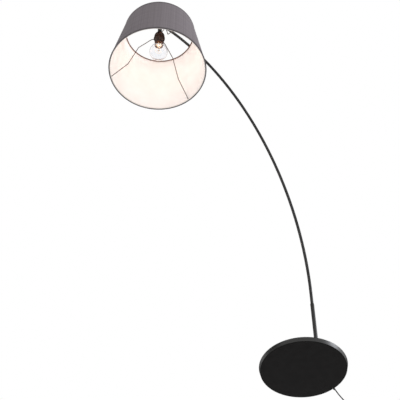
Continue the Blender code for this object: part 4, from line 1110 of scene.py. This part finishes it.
SHADE_LOW = low("trim_bottom").z
SHADE_HEIGHT = high("trim_top").z - SHADE_LOW
SHADE_FOOT = Matrix.Translation((PIVOT.x, PIVOT.y, SHADE_LOW))
RADIUS_LOW = 0.2100
RADIUS_TOP = 0.1567
PANEL_START = 0.0009
SKIN = 0.0008
RING_WIRE = 0.0022
WEB_WIDTH = 0.0042  # of the edge tape's flat part, in from the wall
RING_HEIGHT = 0.0032  # of the lower ring's wire above the shade's lower edge
SEAM_TURN = math.radians(234)  # the overlap of the cloth, on the side away from the front
SEAM_WIDTH = 0.012
SLANT = math.hypot(SHADE_HEIGHT, RADIUS_LOW - RADIUS_TOP)
SPREAD = (RADIUS_LOW - RADIUS_TOP) / SLANT  # the flat cut's angle for each radian round the shade


def wall_radius(height):
    """Outer radius of the shade's cloth at a height above its lower edge."""
    return RADIUS_LOW + (RADIUS_TOP - RADIUS_LOW) * height / SHADE_HEIGHT


def flat_cut(angle, height):
    """Where a point of the wall lies in the flat cut, which is part of a ring."""
    reach = wall_radius(height) / SPREAD
    return (reach * math.sin((angle - math.pi) * SPREAD), reach * math.cos((angle - math.pi) * SPREAD))


def wall_panel(inset, thickness, lift, around=240, rows=30):
    """One skin of the shade's wall as a closed shell, with the flat cut's own UV map."""
    bm = bmesh.new()
    bm.loops.layers.uv.new("UVMap")
    heights = [PANEL_START + (SHADE_HEIGHT - 2 * PANEL_START) * i / rows for i in range(rows + 1)]
    grids = []
    for depth in (0, thickness):
        grid = []
        for height in heights:
            row = []
            for a in ring_points(around):
                radius = wall_radius(height) - inset - depth + lift(a, height)
                turn = a + SEAM_TURN
                row.append(bm.verts.new((radius * math.cos(turn), radius * math.sin(turn), height)))
            grid.append(row)
        grids.append(grid)

    for grid in grids:
        skinned(bm, grid, lambda turn, row: flat_cut(TURN * turn / around, heights[row]))
    for i in (0, rows):
        skinned(bm, [grid[i] for grid in grids], lambda turn, _: flat_cut(TURN * turn / around, heights[i]))
    return bm


def seam_lift(angle, height):
    """The overlap stands proud of the cloth below it, and the stretched cloth is faintly uneven."""
    along = min(angle, TURN - angle) * wall_radius(height)
    overlap = 0.0005 * (1 - eased_step(along, SEAM_WIDTH / 2, SEAM_WIDTH / 2 + 0.0015))
    return overlap + 0.00008 * math.sin(9 * angle + 14 * height) * math.sin(5 * angle)


def tape(name, edge, way, node):
    """Folded tape along an edge of the shade: a leg outside, a rounded fold and a flat web under the edge."""
    leg = edge + way * 0.0090
    outside = GAP + 0.0006
    profile = [(wall_radius(edge) - WEB_WIDTH, edge), (wall_radius(edge) - 0.0010, edge)]
    centre = (wall_radius(edge) + outside - 0.0014, edge + way * 0.0014)
    profile += [(centre[0] + 0.0014 * math.sin(t), centre[1] - way * 0.0014 * math.cos(t))
                for t in [math.pi / 2 * k / 8 for k in range(1, 9)]]
    profile += [(wall_radius(leg) + outside, leg - way * 0.0004), (wall_radius(leg) + outside - 0.0003, leg)]
    profile += [(wall_radius(leg) + GAP, leg), (wall_radius(edge) + GAP, edge + way * 0.0012)]
    profile += [(wall_radius(edge) - inward, edge + way * 0.0006) for inward in (0.0004, WEB_WIDTH)]
    around = 240
    bm = bmesh.new()
    bm.loops.layers.uv.new("UVMap")
    length = [0.0]
    for a, b in zip(profile, profile[1:] + profile[:1]):
        length.append(length[-1] + math.dist(a, b))
    angles = ring_points(around)
    rings = [[bm.verts.new((r * math.cos(a), r * math.sin(a), z)) for a in angles] for r, z in profile]
    faces = skinned(bm, [*rings, rings[0]],
                    lambda turn, row: (wall_radius(edge) * TURN * turn / around, length[row]))
    for count, face in enumerate(faces):
        strip = count // around
        face.material_index = int(strip < 5 or strip > len(profile) - 3)  # the web and half of the fold
    made = piece(name, bm, "head", "trim_tape", node, place=SHADE_FOOT)
    # The web and half of the fold take the nearly black tape: painted shade under the edge.
    made.data.materials.append(PAINTED_SHADE_TAPE)
    return made


def wire_ring(name, height, material, node):
    """Round wire ring just inside the liner."""
    reach = wall_radius(height) - 2 * SKIN - 3 * GAP - RING_WIRE
    path = [(reach * math.cos(a), reach * math.sin(a), height) for a in ring_points(180)]
    piece(name, swept(path, RING_WIRE, 16, closed=True), "head", "frame_wire", node, place=SHADE_FOOT,
          material=material)
    return reach


def spider(ring_reach):
    """Hub and three bent wire arms, with the weld where each arm meets the hub and the ring."""
    hub_low, hub_high = low("spider_hub").z, high("spider_hub").z
    piece("hub_plate", pipe(0.0250, 0.0206, hub_low, hub_high, 0.0005, 96), "head", "frame_wire",
          "spider_hub", place=HEAD_AXIS)
    level = (hub_low + hub_high) / 2 - SHADE_LOW
    corners = [(0.0252, 0, level), (0.0360, 0, level), (0.0930, 0, 0.2025), (0.1340, 0, 0.0830)]
    corners.append((ring_reach - RING_WIRE, 0, 0.0047))
    path = []
    for a, b in zip(bent(corners, 0.0080, 10), bent(corners, 0.0080, 10)[1:]):
        count = max(1, round((b - a).length / 0.004))
        path += [a.lerp(b, k / count) for k in range(count)]
    path.append(Vector(corners[-1]))
    total = [0.0]
    for a, b in zip(path, path[1:]):
        total.append(total[-1] + (b - a).length)
    weld = [0.0017 + 0.0007 * (1 - eased_step(min(s, total[-1] - s), 0.0005, 0.006)) for s in total]
    for k in range(3):
        turn = math.radians(73.5) + TURN * k / 3
        place = SHADE_FOOT @ Matrix.Rotation(turn, 4, "Z")
        piece(f"spider_wire_{k + 1}", swept(path, weld, 16), "head", "frame_wire", f"spider_arm_{k + 1}",
              place=place)


def shade():
    """Laminated drum shade: cloth over styrene, taped edges, two wire rings and the spider."""
    cloth = piece("shade_cloth_panel", wall_panel(0.0, SKIN, seam_lift), "head", "shade_cloth",
                  "shade_fabric", place=SHADE_FOOT)
    piece("shade_liner_panel", wall_panel(SKIN + GAP, SKIN, lambda a, h: 0.0), "head", "liner",
          "shade_liner", place=SHADE_FOOT)
    lower = tape("hem_tape_lower", 0.0, 1, "trim_bottom")
    upper = tape("hem_tape_upper", SHADE_HEIGHT, -1, "trim_top")
    reach = wire_ring("wire_ring_lower", RING_HEIGHT, HEM_TAPE, "shade_ring_bottom")
    # The upper ring's redder lacquer paints the bulb's warm light on it.
    wire_ring("wire_ring_upper", SHADE_HEIGHT - RING_HEIGHT, WARM_LIT_RING_LACQUER, "shade_ring_top")
    spider(reach)


# ---- CAD pieces that stay ----

def finish_cad_pieces():
    """Gives each CAD piece the finish of its slot in the record."""
    for part in frame["record"]["subparts"]:
        for slot in frame["nodes"][part["node"]].material_slots:
            slot.material = FINISHES[part["material_slot"]]


finish_cad_pieces()
place_camera()
light_studio()
lay_floor()
cords()
base()
pole()
arc()
knuckle()
lampholder()
ring_nut()
bulb()
shade()
